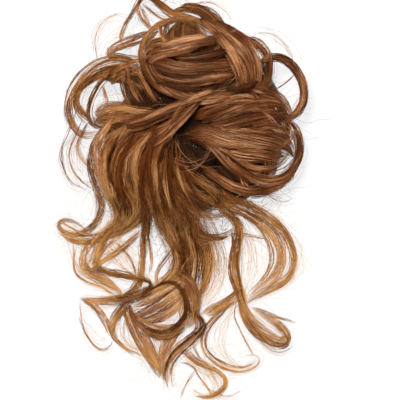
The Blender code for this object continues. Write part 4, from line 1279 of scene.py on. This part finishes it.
    def _add_fuzz(self, tress: Tress, path: LockPath, rng: Chance, strands: int) -> None:
        """Adds short fine hairs that lift off a lock.

        Args:
            tress: what they are added to.
            path: the lock's path.
            rng: the source of chance.
            strands: how many strands the lock has.
        """
        count = max(1, round(strands * 0.22 * path.length / (90 * MM)))
        along = np.linspace(0, 1, 11)[None]
        first = rng.uniform(0, 0.75, (count, 1))
        reach = rng.uniform(0.15, 0.4, (count, 1))
        part = np.minimum(first + reach * along, 1)
        centre, side, up, half = path.at(part)
        run = part * path.length
        away = rng.normal(0, 2.0, (count, 1)) * MM * along**1.5
        sway = away + rng.uniform(-1, 1, (count, 1)) * half + 0.8 * MM * ripples(rng, run, 16 * MM)
        rise = half * path.flatness * 0.9 + 1.1 * MM * along * rng.uniform(0, 1, (count, 1))
        rise = rise + 0.5 * MM * ripples(rng, run, 14 * MM)
        lines = centre + side * sway[..., None] + up * rise[..., None]
        radius = self.fuzz_radius * rng.uniform(0.8, 1.3, (count, 1)) * (1 - 0.5 * along)
        tress.lay_tubes(lines, radius, rng.uniform(0.1, 0.9, count), np.full(part.shape, 0.6), part)


@dataclass(frozen=True)
class HairFinish:
    """The colours of combed fibre: deep and light are partly the fibre's own darker and lighter strands,
    partly painted shade and painted highlights; tip is painted light shining through thin ends.
    """

    name: str
    deep: Colour
    body: Colour
    light: Colour
    tip: Colour
    tip_share: float
    roughness: float
    ior: float = 1.26
    sheen: Colour = (1.0, 0.74, 0.50)

    def material(self, tint: bpy.types.ShaderNodeTree) -> Material:
        """Makes the finish's material.

        Args:
            tint: the strand tint group.

        Returns:
            The material.
        """
        made = bpy.data.materials.new(self.name)
        made.use_nodes = True
        nodes, links = made.node_tree.nodes, made.node_tree.links
        shader = nodes["Principled BSDF"]
        group = nodes.new("ShaderNodeGroup")
        group.node_tree = tint
        for title in ("tone", "depth", "along", "round"):
            mark = nodes.new("ShaderNodeAttribute")
            mark.attribute_name = title
            links.new(mark.outputs["Fac"], group.inputs[title.capitalize()])
        for title in ("deep", "body", "light", "tip"):
            group.inputs[title.capitalize()].default_value = (*getattr(self, title), 1)
        group.inputs["Tip share"].default_value = self.tip_share
        group.inputs["Polish"].default_value = self.roughness
        links.new(group.outputs["Colour"], shader.inputs["Base Color"])
        links.new(group.outputs["Roughness"], shader.inputs["Roughness"])
        shader.inputs["IOR"].default_value = self.ior
        shader.inputs["Specular Tint"].default_value = (*self.sheen, 1)
        return made


HAIR_FINISHES = (
    HairFinish(
        "auburn_fibre", (0.034, 0.0080, 0.0018), (0.160, 0.050, 0.0150),
        (0.50, 0.260, 0.128), (0.30, 0.12, 0.038), tip_share=0.2, roughness=0.30,
    ),
    HairFinish(
        "chestnut_fibre", (0.060, 0.0175, 0.0040), (0.200, 0.069, 0.0190),
        (0.50, 0.250, 0.095), (0.40, 0.18, 0.050), tip_share=0.3, roughness=0.30,
    ),
    HairFinish(
        "russet_fibre", (0.064, 0.0170, 0.0034), (0.180, 0.059, 0.0175),
        (0.48, 0.245, 0.105), (0.56, 0.29, 0.100), tip_share=0.85, roughness=0.34, ior=1.08,
    ),
    HairFinish(
        "amber_fibre", (0.140, 0.0425, 0.0075), (0.275, 0.110, 0.0270),
        (0.58, 0.315, 0.110), (0.54, 0.275, 0.078), tip_share=0.7, roughness=0.32, ior=1.10,
    ),
    # umber colours the roll and the hollow's tangle: partly the hair's own dark colour, partly painted shade
    # under the locks and in the hollow
    HairFinish(
        "umber_fibre", (0.007, 0.0020, 0.0008), (0.075, 0.023, 0.008),
        (0.20, 0.08, 0.032), (0.14, 0.048, 0.018), tip_share=0.3, roughness=0.42, ior=1.2,
    ),
)


def strand_tint() -> bpy.types.ShaderNodeTree:
    """Builds the group that colours strands by their tone, their painted light and shade, and their place
    along the lock.

    Returns:
        The node group, with outputs Colour and Roughness.
    """
    group = bpy.data.node_groups.new("strand_tint", "ShaderNodeTree")
    sockets = {
        "Float": ("Tone", "Depth", "Along", "Round", "Tip share", "Polish"),
        "Color": ("Deep", "Body", "Light", "Tip"),
    }
    for kind, titles in sockets.items():
        for title in titles:
            group.interface.new_socket(name=title, in_out="INPUT", socket_type="NodeSocket" + kind)
    group.interface.new_socket(name="Colour", in_out="OUTPUT", socket_type="NodeSocketColor")
    group.interface.new_socket(name="Roughness", in_out="OUTPUT", socket_type="NodeSocketFloat")
    nodes, links = group.nodes, group.links
    source = nodes.new("NodeGroupInput").outputs
    result = nodes.new("NodeGroupOutput").inputs

    def worked(operation: str, *values: Socket | float) -> Socket:
        """Works out a value from sockets and fixed numbers."""
        node = nodes.new("ShaderNodeMath")
        node.operation = operation
        for socket, value in zip(node.inputs, values):
            if isinstance(value, float):
                socket.default_value = value
            else:
                links.new(value, socket)
        return node.outputs[0]

    def eased(value: Socket, low: float, high: float) -> Socket:
        """Maps low to high onto 0 to 1, eased."""
        node = nodes.new("ShaderNodeMapRange")
        node.interpolation_type = "SMOOTHSTEP"
        node.inputs["From Min"].default_value = low
        node.inputs["From Max"].default_value = high
        links.new(value, node.inputs["Value"])
        return node.outputs["Result"]

    def mixed(factor: Socket, first: Socket, second: Socket) -> Socket:
        """Mixes two colours, on the mixing node's third set of sockets."""
        node = nodes.new("ShaderNodeMix")
        node.data_type = "RGBA"
        links.new(factor, node.inputs["Factor"])
        links.new(first, node.inputs[6])
        links.new(second, node.inputs[7])
        return node.outputs[2]

    def noise(place: Socket, scale: float, detail: float) -> Socket:
        """Makes noise over a surface."""
        node = nodes.new("ShaderNodeTexNoise")
        node.inputs["Scale"].default_value = scale
        node.inputs["Detail"].default_value = detail
        links.new(place, node.inputs["Vector"])
        return node.outputs["Fac"]

    cloud = noise(nodes.new("ShaderNodeTexCoord").outputs["Object"], 140, 3)
    combed = nodes.new("ShaderNodeCombineXYZ")
    for axis, (title, scale) in enumerate((("Round", 1.0), ("Along", 0.16), ("Tone", 9.0))):
        links.new(worked("MULTIPLY", source[title], scale), combed.inputs[axis])
    streak = noise(combed.outputs["Vector"], 34, 2)
    # the level adds the painted light and shade to the tone; low levels take the deep colour as painted
    # shade, high ones the light colour as painted highlight
    level = worked("MULTIPLY_ADD", source["Tone"], 0.55, worked("MULTIPLY", source["Depth"], 0.62))
    level = worked("MULTIPLY_ADD", streak, 0.75, level)
    level = worked("MULTIPLY_ADD", cloud, 0.35, level)
    base = mixed(eased(level, 0.80, 1.30), source["Deep"], source["Body"])
    lit = mixed(eased(level, 1.24, 1.72), base, source["Light"])
    # lit ends turn towards the tip colour: painted light shining through thin ends
    ended = worked("MULTIPLY", eased(source["Along"], 0.25, 1.0), source["Tip share"])
    ended = worked("MULTIPLY", ended, eased(level, 0.84, 1.26))
    links.new(mixed(ended, lit, source["Tip"]), result["Colour"])
    links.new(worked("MULTIPLY_ADD", cloud, 0.16, source["Polish"]), result["Roughness"])
    return group


@dataclass(frozen=True)
class ClothFinish:
    """A woven or stitched finish."""

    name: str
    dark: Colour
    pale: Colour
    threads: float
    relief: float

    def material(self) -> Material:
        """Makes the finish's material."""
        made = bpy.data.materials.new(self.name)
        made.use_nodes = True
        nodes, links = made.node_tree.nodes, made.node_tree.links
        shader = nodes["Principled BSDF"]
        place = nodes.new("ShaderNodeTexCoord")
        weave = nodes.new("ShaderNodeTexWave")
        weave.wave_type = "BANDS"
        weave.bands_direction = "DIAGONAL"
        weave.inputs["Scale"].default_value = self.threads
        weave.inputs["Distortion"].default_value = 2.0
        weave.inputs["Detail"].default_value = 2.0
        links.new(place.outputs["Object"], weave.inputs["Vector"])
        ramp = nodes.new("ShaderNodeValToRGB")
        ramp.color_ramp.elements[0].color = (*self.dark, 1)
        ramp.color_ramp.elements[1].color = (*self.pale, 1)
        links.new(weave.outputs["Fac"], ramp.inputs["Fac"])
        links.new(ramp.outputs["Color"], shader.inputs["Base Color"])
        bump = nodes.new("ShaderNodeBump")
        bump.inputs["Strength"].default_value = self.relief
        bump.inputs["Distance"].default_value = 0.3 * MM
        links.new(weave.outputs["Fac"], bump.inputs["Height"])
        links.new(bump.outputs["Normal"], shader.inputs["Normal"])
        shader.inputs["Roughness"].default_value = 0.8
        return made


def dressed(name: str, tress: Tress, material: Material, slot: str, *nodes: str) -> None:
    """Makes a piece that rides on the part, and reports it.

    Args:
        name: the piece's name.
        tress: what it is made of.
        material: its material.
        slot: the name of a material slot in the record; it is not used.
        *nodes: the solids that it stands for.
    """
    mesh = tress.mesh(name)
    mesh.materials.append(material)
    piece = bpy.data.objects.new(name, mesh)
    bpy.context.scene.collection.objects.link(piece)
    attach(piece, "root")
    if nodes:
        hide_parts(*nodes)
    LOG.info("%s: %d triangles", name, tress.triangles)


@dataclass
class LaidHair:
    """The groups of laid and falling locks, a piece for each of their solids."""

    dresser: Hairdresser
    materials: dict[str, Material]
    falling: tuple[str, ...] = (
        "left_fall", "left_ringlets", "lower_ringlets", "right_tendril", "outer_tendril", "lowest_ringlet",
    )

    def build(self) -> None:
        """Combs and dresses every group."""
        for group, locks in HAIR.items():
            tress = Tress()
            for lock, rows in {**locks, **FINE_HAIR.get(group, {})}.items():
                self.dresser.comb(tress, rows, lock, group)
            for name, (owner, count, tone) in FANS.items():
                if owner == group:
                    self.dresser.fan(tress, name, count, tone)
            slot = "tips" if group in self.falling else "hair"
            dressed(group + "_hair", tress, self.materials[group], slot, group)


@dataclass
class HairRoll:
    """The backcombed roll: a core darkened with painted shade, under strands that run out of the hollow and
    round.
    """

    roll: RollForm
    cover_count: int = 510
    cover_turns: tuple[float, float] = (math.radians(205), math.radians(-80))
    under_count: int = 140
    under_turns: tuple[float, float] = (math.radians(-70), math.radians(-150))
    strand_radius: float = 0.24 * MM
    core_depth: float = 1.4 * MM
    seed: int = 5

    def build(self, material: Material) -> None:
        """Builds and dresses the roll.

        Args:
            material: its finish.
        """
        rng = np.random.default_rng(self.seed)
        tress = Tress()
        self._add_core(tress)
        self._add_cover(tress, rng, self.cover_count, self.cover_turns, 15)
        self._add_cover(tress, rng, self.under_count, self.under_turns, 9)
        dressed("hair_roll_hair", tress, material, "roll", "hair_roll")

    def _add_core(self, tress: Tress) -> None:
        """Adds the core, a closed ring of sections.

        Args:
            tress: what it is added to.
        """
        around, section = 97, 24
        angle = np.linspace(0, 2 * math.pi, around)[:, None]
        turn = -2 * math.pi * np.arange(section)[None] / section
        wrinkle = 0.5 * MM * np.sin(37 * angle + 3 * turn) * np.sin(11 * angle + 1.3)
        ring = self.roll.skin(angle, turn, wrinkle - self.core_depth)[None]
        # the core is painted in deep shade
        depth = np.full((1, around), 0.06)
        tress.add_rings(ring, np.array([0.2]), depth, np.zeros((1, around)))
        tress.caps.pop()

    def _add_cover(
        self, tress: Tress, rng: Chance, count: int, turns: tuple[float, float], steps: int
    ) -> None:
        """Adds strands that run round the roll's section.

        Args:
            tress: what they are added to.
            rng: the source of chance.
            count: how many.
            turns: the directions round the section that they run between.
            steps: how many points a strand has.
        """
        along = np.linspace(0, 1, steps)[None]
        begin = rng.uniform(0, 0.35, (count, 1))
        end = np.minimum(1, begin + rng.uniform(0.45, 1.0, (count, 1)))
        part = begin + (end - begin) * along
        turn = turns[0] + (turns[1] - turns[0]) * part
        lean = rng.normal(0.25, 0.35, (count, 1))
        run = part * 110 * MM
        angle = rng.uniform(0, 2 * math.pi, (count, 1)) + lean * (part - 0.5)
        angle = angle + 0.06 * ripples(rng, run, 45 * MM)
        swell = rng.uniform(-0.6, 1.2, (count, 1)) * MM + 0.7 * MM * ripples(rng, run, 40 * MM)
        lines = self.roll.skin(angle, turn, swell)
        lines[..., 2] += rng.uniform(0, 0.6, (count, 1)) * MM
        taper = smooth_step(along / 0.1) * smooth_step((1 - along) / 0.15)
        radius = self.strand_radius * rng.uniform(0.7, 1.2, (count, 1)) * (0.3 + 0.7 * taper)
        # painted shade: strands that lie lower, and the first part of each run, are darker
        depth = np.clip(0.35 + 0.35 * swell / MM, 0, 1) * np.clip(0.25 + 1.1 * part, 0, 1)
        tress.add_tubes(lines, radius, rng.uniform(0.1, 0.75, count), depth, 0.4 * part)


@dataclass
class RollWaves:
    """Wavy locks that wrap the roll's side, except where the falling hair leaves it."""

    dresser: Hairdresser
    # directions in degrees between which the roll's side is bare
    open_from: float = 218.0
    open_to: float = 302.0
    count: int = 42
    comb: Comb = Comb(2.2, 0.19 * MM, 0.8 * MM, 26 * MM, 0.8, 0.12, 0.12, 0.80, 5.2 * MM)
    seed: int = 23

    def build(self, material: Material) -> None:
        """Builds and dresses the waves.

        Args:
            material: their finish.
        """
        rng = np.random.default_rng(self.seed)
        roll = self.dresser.roll
        tress = Tress()
        for number in range(self.count):
            centre = 2 * math.pi * (number + rng.uniform(-0.3, 0.3)) / self.count
            if self.open_from < math.degrees(centre) < self.open_to:
                continue
            part = np.linspace(0, 1, 26)
            first, last = math.radians(rng.uniform(70, 130)), math.radians(rng.uniform(-75, -30))
            turn = first + (last - first) * part
            swing = rng.uniform(0.10, 0.28) * rng.choice([-1, 1])
            phase = rng.uniform(0, 2 * math.pi)
            angle = centre + swing * np.sin(1.6 * math.pi * part + phase) + rng.normal(0, 0.25) * (part - 0.5)
            swell = (0.4 + 1.4 * np.sin(math.pi * part)) * MM
            points = roll.skin(angle, turn, swell)
            half = rng.uniform(2.6, 4.6) * MM * (0.35 + 0.65 * np.sin(math.pi * np.clip(part, 0.08, 0.92)))
            path = OutwardPath(points, half, middle=roll.middle)
            self.dresser.comb_path(tress, path, self.comb, rng, rng.uniform(0.15, 0.6))
        dressed("roll_waves", tress, material, "roll")


@dataclass
class OutwardPath(LockPath):
    """A lock path on the roll's side, whose face looks away from the roll."""

    flatness: float = 0.4
    middle: Array = field(default_factory=lambda: np.zeros(2))
    tilt: float = 0.6

    def at(self, part: Array) -> tuple[Array, Array, Array, Array]:
        """Reads the path, with its upward direction turned away from the roll.

        Args:
            part: how far along, from 0 to 1.

        Returns:
            The points, the sideways and outward directions, and the half widths.
        """
        low, share, half = self._between(part)
        centre = self.points[low] * (1 - share) + self.points[low + 1] * share
        tangent = unit(np.gradient(self.points, axis=0))
        tangent = unit(tangent[low] * (1 - share) + tangent[low + 1] * share)
        away = np.zeros_like(centre)
        away[..., :2] = unit(centre[..., :2] - self.middle)
        away[..., 2] = self.tilt
        up = unit(away - tangent * (away * tangent).sum(axis=-1, keepdims=True))
        return centre, np.cross(tangent, up), up, half


@dataclass
class HollowTangle:
    """Fine hair that crosses the hollow under the crossing locks, above the room for a ponytail; its lower
    strands are darker, as painted shade in the hollow.
    """

    roll: RollForm
    count: int = 500
    height: float = 36 * MM
    lowest: float = 34.6 * MM
    rise: float = 3 * MM
    strand_radius: float = 0.55 * MM
    seed: int = 31

    def build(self, material: Material) -> None:
        """Builds and dresses the tangle.

        Args:
            material: its finish.
        """
        rng = np.random.default_rng(self.seed)
        tress = Tress()
        along = np.linspace(0, 1, 10)[None]
        first = rng.uniform(0, 2 * math.pi, (self.count, 1))
        second = first + math.pi + rng.normal(0, 1.2, (self.count, 1))
        ends = []
        for angle in (first, second):
            middle, half, _, _ = self.roll.shape(angle)
            radius = middle - half + rng.uniform(1, 8, angle.shape) * MM
            x = self.roll.middle[0] + radius * np.cos(angle)
            y = self.roll.middle[1] + radius * np.sin(angle)
            ends.append(np.stack([x, y, np.full_like(x, self.height)], axis=-1))
        lines = ends[0] + (ends[1] - ends[0]) * along[..., None]
        run = along * np.linalg.norm(ends[1] - ends[0], axis=-1)
        sway = np.stack([ripples(rng, run, 40 * MM) for _ in range(3)], axis=-1)
        lines = lines + sway * np.array([3.5, 3.5, 1.0]) * MM
        level = np.linspace(0, 1, self.count)[:, None]
        lines[..., 2] += self.rise * level - self.rise / 2 * np.sin(math.pi * along)
        lines[..., 2] = np.maximum(lines[..., 2], self.lowest)
        radius = np.full(lines.shape[:2], self.strand_radius) * (1.25 - level)
        radius = radius * rng.uniform(0.7, 1.2, (self.count, 1))
        # painted shade: the lower the strand, the darker
        depth = np.repeat(0.02 + 0.22 * level, along.size, axis=1)
        tress.add_tubes(lines, radius, rng.uniform(0.0, 0.5, self.count), depth, np.zeros(lines.shape[:2]))
        dressed("hollow_tangle", tress, material, "roll")


@dataclass
class LooseHairs:
    """Single hairs that stand clear of the piece, and frizz between its locks."""

    dresser: Hairdresser
    around: int = 70
    copies: int = 3
    hair_radius: float = 0.085 * MM
    seed: int = 47

    def build(self, material: Material, dark: Material) -> None:
        """Builds and dresses the loose hairs.

        Args:
            material: the finish of those that stand clear of the piece.
            dark: the finish of the frizz that lies on it.
        """
        rng = np.random.default_rng(self.seed)
        tress = Tress()
        for name, rows in LOOSE_HAIRS.items():
            for copy in range(self.copies):
                self.dresser.comb(tress, rows, f"{name}{copy}")
        frizz = Tress()
        for row in FRIZZ:
            spot = dict(zip(FRIZZ_COLUMNS, row))
            self._add_frizz(frizz if spot["tone"] < 0.5 else tress, rng, spot)
        self._add_halo(tress, rng)
        dressed("loose_hairs", tress, material, "tips")
        dressed("frizz", frizz, dark, "hair")

    def _arcs(
        self, tress: Tress, rng: Chance, start: Array, bearing: Array, length: Array, bend: float, tone: float
    ) -> None:
        """Adds curved single hairs.

        Args:
            tress: what they are added to.
            rng: the source of chance.
            start: their roots.
            bearing: the direction that each sets out in.
            length: their lengths.
            bend: how strongly they curl, in radians over their length.
            tone: their tone, 0 dark to 1 light.
        """
        count, steps = len(start), 9
        along = np.linspace(0, 1, steps)[None]
        curl = rng.normal(0, bend, (count, 1))
        heading = bearing[:, None] + curl * along + 0.4 * ripples(rng, along * length[:, None], 18 * MM)
        step = length[:, None] / (steps - 1)
        x = start[:, :1] + np.cumsum(np.cos(heading) * step, axis=1)
        y = start[:, 1:2] + np.cumsum(np.sin(heading) * step, axis=1)
        z = start[:, 2:] + 2.5 * MM * np.sin(along * 3) * rng.uniform(-1, 1, (count, 1))
        lines = np.stack([x, y, np.maximum(z, 0.4 * MM)], axis=-1)
        radius = self.hair_radius * rng.uniform(0.7, 1.2, (count, 1)) * (1 - 0.5 * along)
        tones = np.clip(tone + rng.normal(0, 0.25, count), 0, 1)
        depth = np.full(x.shape, 0.2 + tone)
        tress.add_tubes(lines, radius, tones, depth, tone * np.repeat(along, count, axis=0))

    def _add_frizz(self, tress: Tress, rng: Chance, spot: dict[str, float]) -> None:
        """Adds a patch of frizz.

        Args:
            tress: what it is added to.
            rng: the source of chance.
            spot: the patch, by column name.
        """
        count = int(spot["count"])
        layout = self.dresser.roll.layout
        middle = layout.place(spot["across"], spot["down"])
        offset = rng.normal(0, spot["reach"] * layout.step * 0.5, (count, 2))
        height = np.maximum(spot["height_mm"] * MM * rng.uniform(0.85, 1.05, count), 0.6 * MM)
        start = np.column_stack([middle + offset, height])
        bearing = rng.uniform(0, 2 * math.pi, count)
        length = rng.uniform(9, 26, count) * MM
        self._arcs(tress, rng, start, bearing, length, spot["curl"], spot["tone"])

    def _add_halo(self, tress: Tress, rng: Chance) -> None:
        """Adds hairs that leave the roll's side.

        Args:
            tress: what they are added to.
            rng: the source of chance.
        """
        angle = rng.uniform(0, 2 * math.pi, self.around)
        turn = np.radians(rng.uniform(-10, 80, self.around))
        start = self.dresser.roll.skin(angle, turn, 0.5 * MM)
        bearing = angle + rng.normal(0, 1.0, self.around)
        length = rng.uniform(10, 22, self.around) * MM
        self._arcs(tress, rng, start, bearing, length, 1.5, 0.8)


@dataclass
class RingParts:
    """The elastic and the sewn ring of roots that grips it."""

    roll: RollForm
    long: float = 25.4 * MM
    short: float = 13.4 * MM
    height: float = 6.0 * MM
    elastic_radius: float = 2.0 * MM
    cord_share: float = 0.96
    strip_inner: float = -2.3 * MM
    strip_outer: float = 4.3 * MM
    strip_half_height: float = 6.0 * MM
    stitches: int = 64
    thread_radius: float = 0.16 * MM
    around: int = 120

    def _line(self, count: int) -> tuple[Array, Array]:
        """Finds the elastic's line.

        Args:
            count: how many points.

        Returns:
            The points, and the outward direction at each.
        """
        angle = np.linspace(0, 2 * math.pi, count)
        along, aside = self.long * np.cos(angle), self.short * np.sin(angle)
        cos, sin = math.cos(self.roll.turn), math.sin(self.roll.turn)
        x, y = along * cos - aside * sin, along * sin + aside * cos
        middle = self.roll.middle
        points = np.stack([x + middle[0], y + middle[1], np.full_like(x, self.height)], axis=-1)
        tangent = unit(np.gradient(points, axis=0))
        tangent[0] = tangent[-1] = unit(points[1] - points[-2])
        return points, np.cross(tangent, UPWARD)

    def _swept(self, section: Array, relief: Array) -> Tress:
        """Sweeps a closed section round the line.

        Args:
            section: outward and upward offsets, a row for each point.
            relief: how far each point of each section is pushed from the section's middle.

        Returns:
            The closed ring.
        """
        points, outward = self._line(self.around + 1)
        reach = np.linalg.norm(section, axis=1, keepdims=True)
        pushed = section[None] * (1 + relief / reach[None])
        ring = points[:, None] + pushed[..., :1] * outward[:, None]
        ring[..., 2] += pushed[..., 1]
        tress = Tress()
        shape = (1, self.around + 1)
        tress.add_rings(ring[None], np.array([0.3]), np.full(shape, 0.5), np.zeros(shape))
        tress.caps.pop()
        return tress

    def build(self, elastic: Material, weft: Material, thread: Material) -> None:
        """Builds and dresses the elastic, the sewn ring and its stitches.

        Args:
            elastic: the elastic's finish.
            weft: the ring's finish.
            thread: the stitches' finish.
        """
        self._cord(elastic)
        self._strip(weft)
        self._stitches(thread)

    def _cord(self, material: Material) -> None:
        """Makes the elastic, a braided cord.

        Args:
            material: its finish.
        """
        turn = -2 * math.pi * np.arange(16) / 16
        section = self.elastic_radius * self.cord_share * np.stack([np.cos(turn), np.sin(turn)], axis=1)
        around = np.arange(self.around + 1)[:, None]
        braid = 0.10 * MM * np.sin(2 * math.pi * around / 4 + 2 * turn[None])[..., None]
        dressed("elastic_cord", self._swept(section, braid), material, "elastic", "elastic_band")

    def _strip(self, material: Material) -> None:
        """Makes the sewn strip that grips the elastic in a groove.

        Args:
            material: its finish.
        """
        seat = self.elastic_radius + 0.3 * MM
        lip, outer, high = self.strip_inner, self.strip_outer, self.strip_half_height
        outline = np.array([
            (lip, -high), (outer, -high), (outer, high), (lip, high), (lip, seat), (seat * 0.7, seat),
            (seat * 1.2, seat * 0.5), (seat * 1.2, -seat * 0.5), (seat * 0.7, -seat), (lip, -seat),
        ])[::-1]
        around = np.arange(self.around + 1)[:, None]
        pucker = np.sin(2 * math.pi * around / 5 + np.arange(len(outline)))[..., None] - 1
        dressed("weft_strip", self._swept(outline, 0.08 * MM * pucker), material, "weft", "weft_ring")

    def _stitches(self, material: Material) -> None:
        """Sews a row of slanted stitches into the strip's flat back.

        Args:
            material: their finish.
        """
        count, steps, margin, slant = self.stitches, 7, 1.2 * MM, 0.9 * MM
        points, outward = self._line(count + 1)
        ahead = np.cross(UPWARD, outward)
        part = np.linspace(0, 1, steps)
        sideways = self.strip_inner + margin + (self.strip_outer - self.strip_inner - 2 * margin) * part
        lines = points[:-1, None] + outward[:-1, None] * sideways[None, :, None]
        lines = lines + ahead[:-1, None] * (slant * (part - 0.5))[None, :, None]
        lines[..., 2] += 0.30 * MM - self.strip_half_height - 0.25 * MM * np.sin(math.pi * part)
        lines[..., 2] = np.maximum(lines[..., 2], 0.10 * MM)
        shape = (count, steps)
        radius = np.full(shape, self.thread_radius)
        tress = Tress()
        tress.add_tubes(lines, radius, np.full(count, 0.4), np.full(shape, 0.7), np.zeros(shape))
        dressed("weft_stitches", tress, material, "weft")


@dataclass
class Studio:
    """The pale table, the soft lights and the camera above."""

    layout: Layout
    frame_steps: float = 400.0
    height: float = 3.0
    sensor: float = 36.0
    table_reach: float = 4.0
    # each light's name, place, side and power in watts
    lights: tuple[tuple[str, tuple[float, float, float], float, float], ...] = (
        ("key", (-0.12, 0.38, 1.4), 0.34, 42.0),
        ("fill", (0.9, -0.2, 0.9), 0.8, 6.0),
        ("back_fill", (-0.9, -0.4, 0.9), 0.8, 5.0),
    )

    def build(self) -> None:
        """Sets up the table, lights, world and camera."""
        self._table()
        for light in self.lights:
            self._light(*light)
        world = bpy.data.worlds.new("studio")
        bpy.context.scene.world = world
        world.use_nodes = True
        world.node_tree.nodes["Background"].inputs["Color"].default_value = (1.0, 0.99, 0.98, 1)
        world.node_tree.nodes["Background"].inputs["Strength"].default_value = 0.30
        bpy.context.scene.view_settings.view_transform = "Standard"
        self._camera()

    def _table(self) -> None:
        """Lays the pale table."""
        mesh = bpy.data.meshes.new("table")
        far = self.table_reach
        corners = [(-far, -far, 0), (far, -far, 0), (far, far, 0), (-far, far, 0)]
        mesh.from_pydata(corners, [], [(0, 1, 2, 3)])
        table = bpy.data.objects.new("table", mesh)
        bpy.context.scene.collection.objects.link(table)
        finish = bpy.data.materials.new("pale_table")
        finish.use_nodes = True
        shader = finish.node_tree.nodes["Principled BSDF"]
        shader.inputs["Base Color"].default_value = (0.08, 0.08, 0.08, 1)
        shader.inputs["Roughness"].default_value = 0.9
        shader.inputs["Emission Color"].default_value = (1, 1, 1, 1)
        shader.inputs["Emission Strength"].default_value = 0.80
        mesh.materials.append(finish)

    def _light(self, name: str, place: tuple[float, float, float], size: float, power: float) -> None:
        """Hangs a square softbox that faces the piece.

        Args:
            name: its name.
            place: where it hangs.
            size: the length of its side.
            power: its power in watts.
        """
        lamp = bpy.data.lights.new(name, "AREA")
        lamp.size = size
        lamp.energy = power
        lamp.color = (1.0, 0.985, 0.96)
        obj = bpy.data.objects.new(name, lamp)
        obj.location = place
        obj.rotation_euler = (-Vector(place)).to_track_quat("-Z", "Y").to_euler()
        obj.visible_camera = False
        bpy.context.scene.collection.objects.link(obj)

    def _camera(self) -> None:
        """Hangs the camera straight above, with the frame's middle at the grid's."""
        data = bpy.data.cameras.new("camera")
        data.sensor_width = self.sensor
        width = self.frame_steps * self.layout.step
        data.lens = self.sensor * self.height / width
        data.clip_end = 20
        camera = bpy.data.objects.new("camera", data)
        x, y = self.layout.place(self.frame_steps / 2, self.frame_steps / 2)
        camera.location = (x, y, self.height)
        bpy.context.scene.collection.objects.link(camera)
        bpy.context.scene.camera = camera


def main() -> None:
    """Builds the whole piece and its studio."""
    logging.basicConfig(level=logging.INFO, format="%(message)s")
    layout = Layout()
    Studio(layout).build()
    roll = RollForm(layout)
    dresser = Hairdresser(roll)
    tint = strand_tint()
    materials = {finish.name: finish.material(tint) for finish in HAIR_FINISHES}
    dark, warm, pale = (materials[name] for name in ("umber_fibre", "auburn_fibre", "amber_fibre"))
    fibres = {group: pale if group in LaidHair.falling else warm for group in HAIR}
    for group in ("centre_fall", "left_fall", "tail_curls"):
        fibres[group] = materials["russet_fibre"]
    fibres["crown_loops"] = fibres["left_loops"] = materials["chestnut_fibre"]
    HairRoll(roll).build(dark)
    RollWaves(dresser).build(warm)
    HollowTangle(roll).build(dark)
    LaidHair(dresser, fibres).build()
    LooseHairs(dresser).build(pale, warm)
    elastic = ClothFinish("knitted_elastic", (0.006, 0.005, 0.005), (0.03, 0.026, 0.025), 1400, 0.6)
    strip = ClothFinish("stitched_strip", (0.03, 0.012, 0.006), (0.10, 0.042, 0.02), 900, 0.5)
    thread = ClothFinish("sewing_thread", (0.05, 0.02, 0.01), (0.16, 0.07, 0.03), 3000, 0.3)
    RingParts(roll).build(elastic.material(), strip.material(), thread.material())


if __name__ == "__main__":
    main()
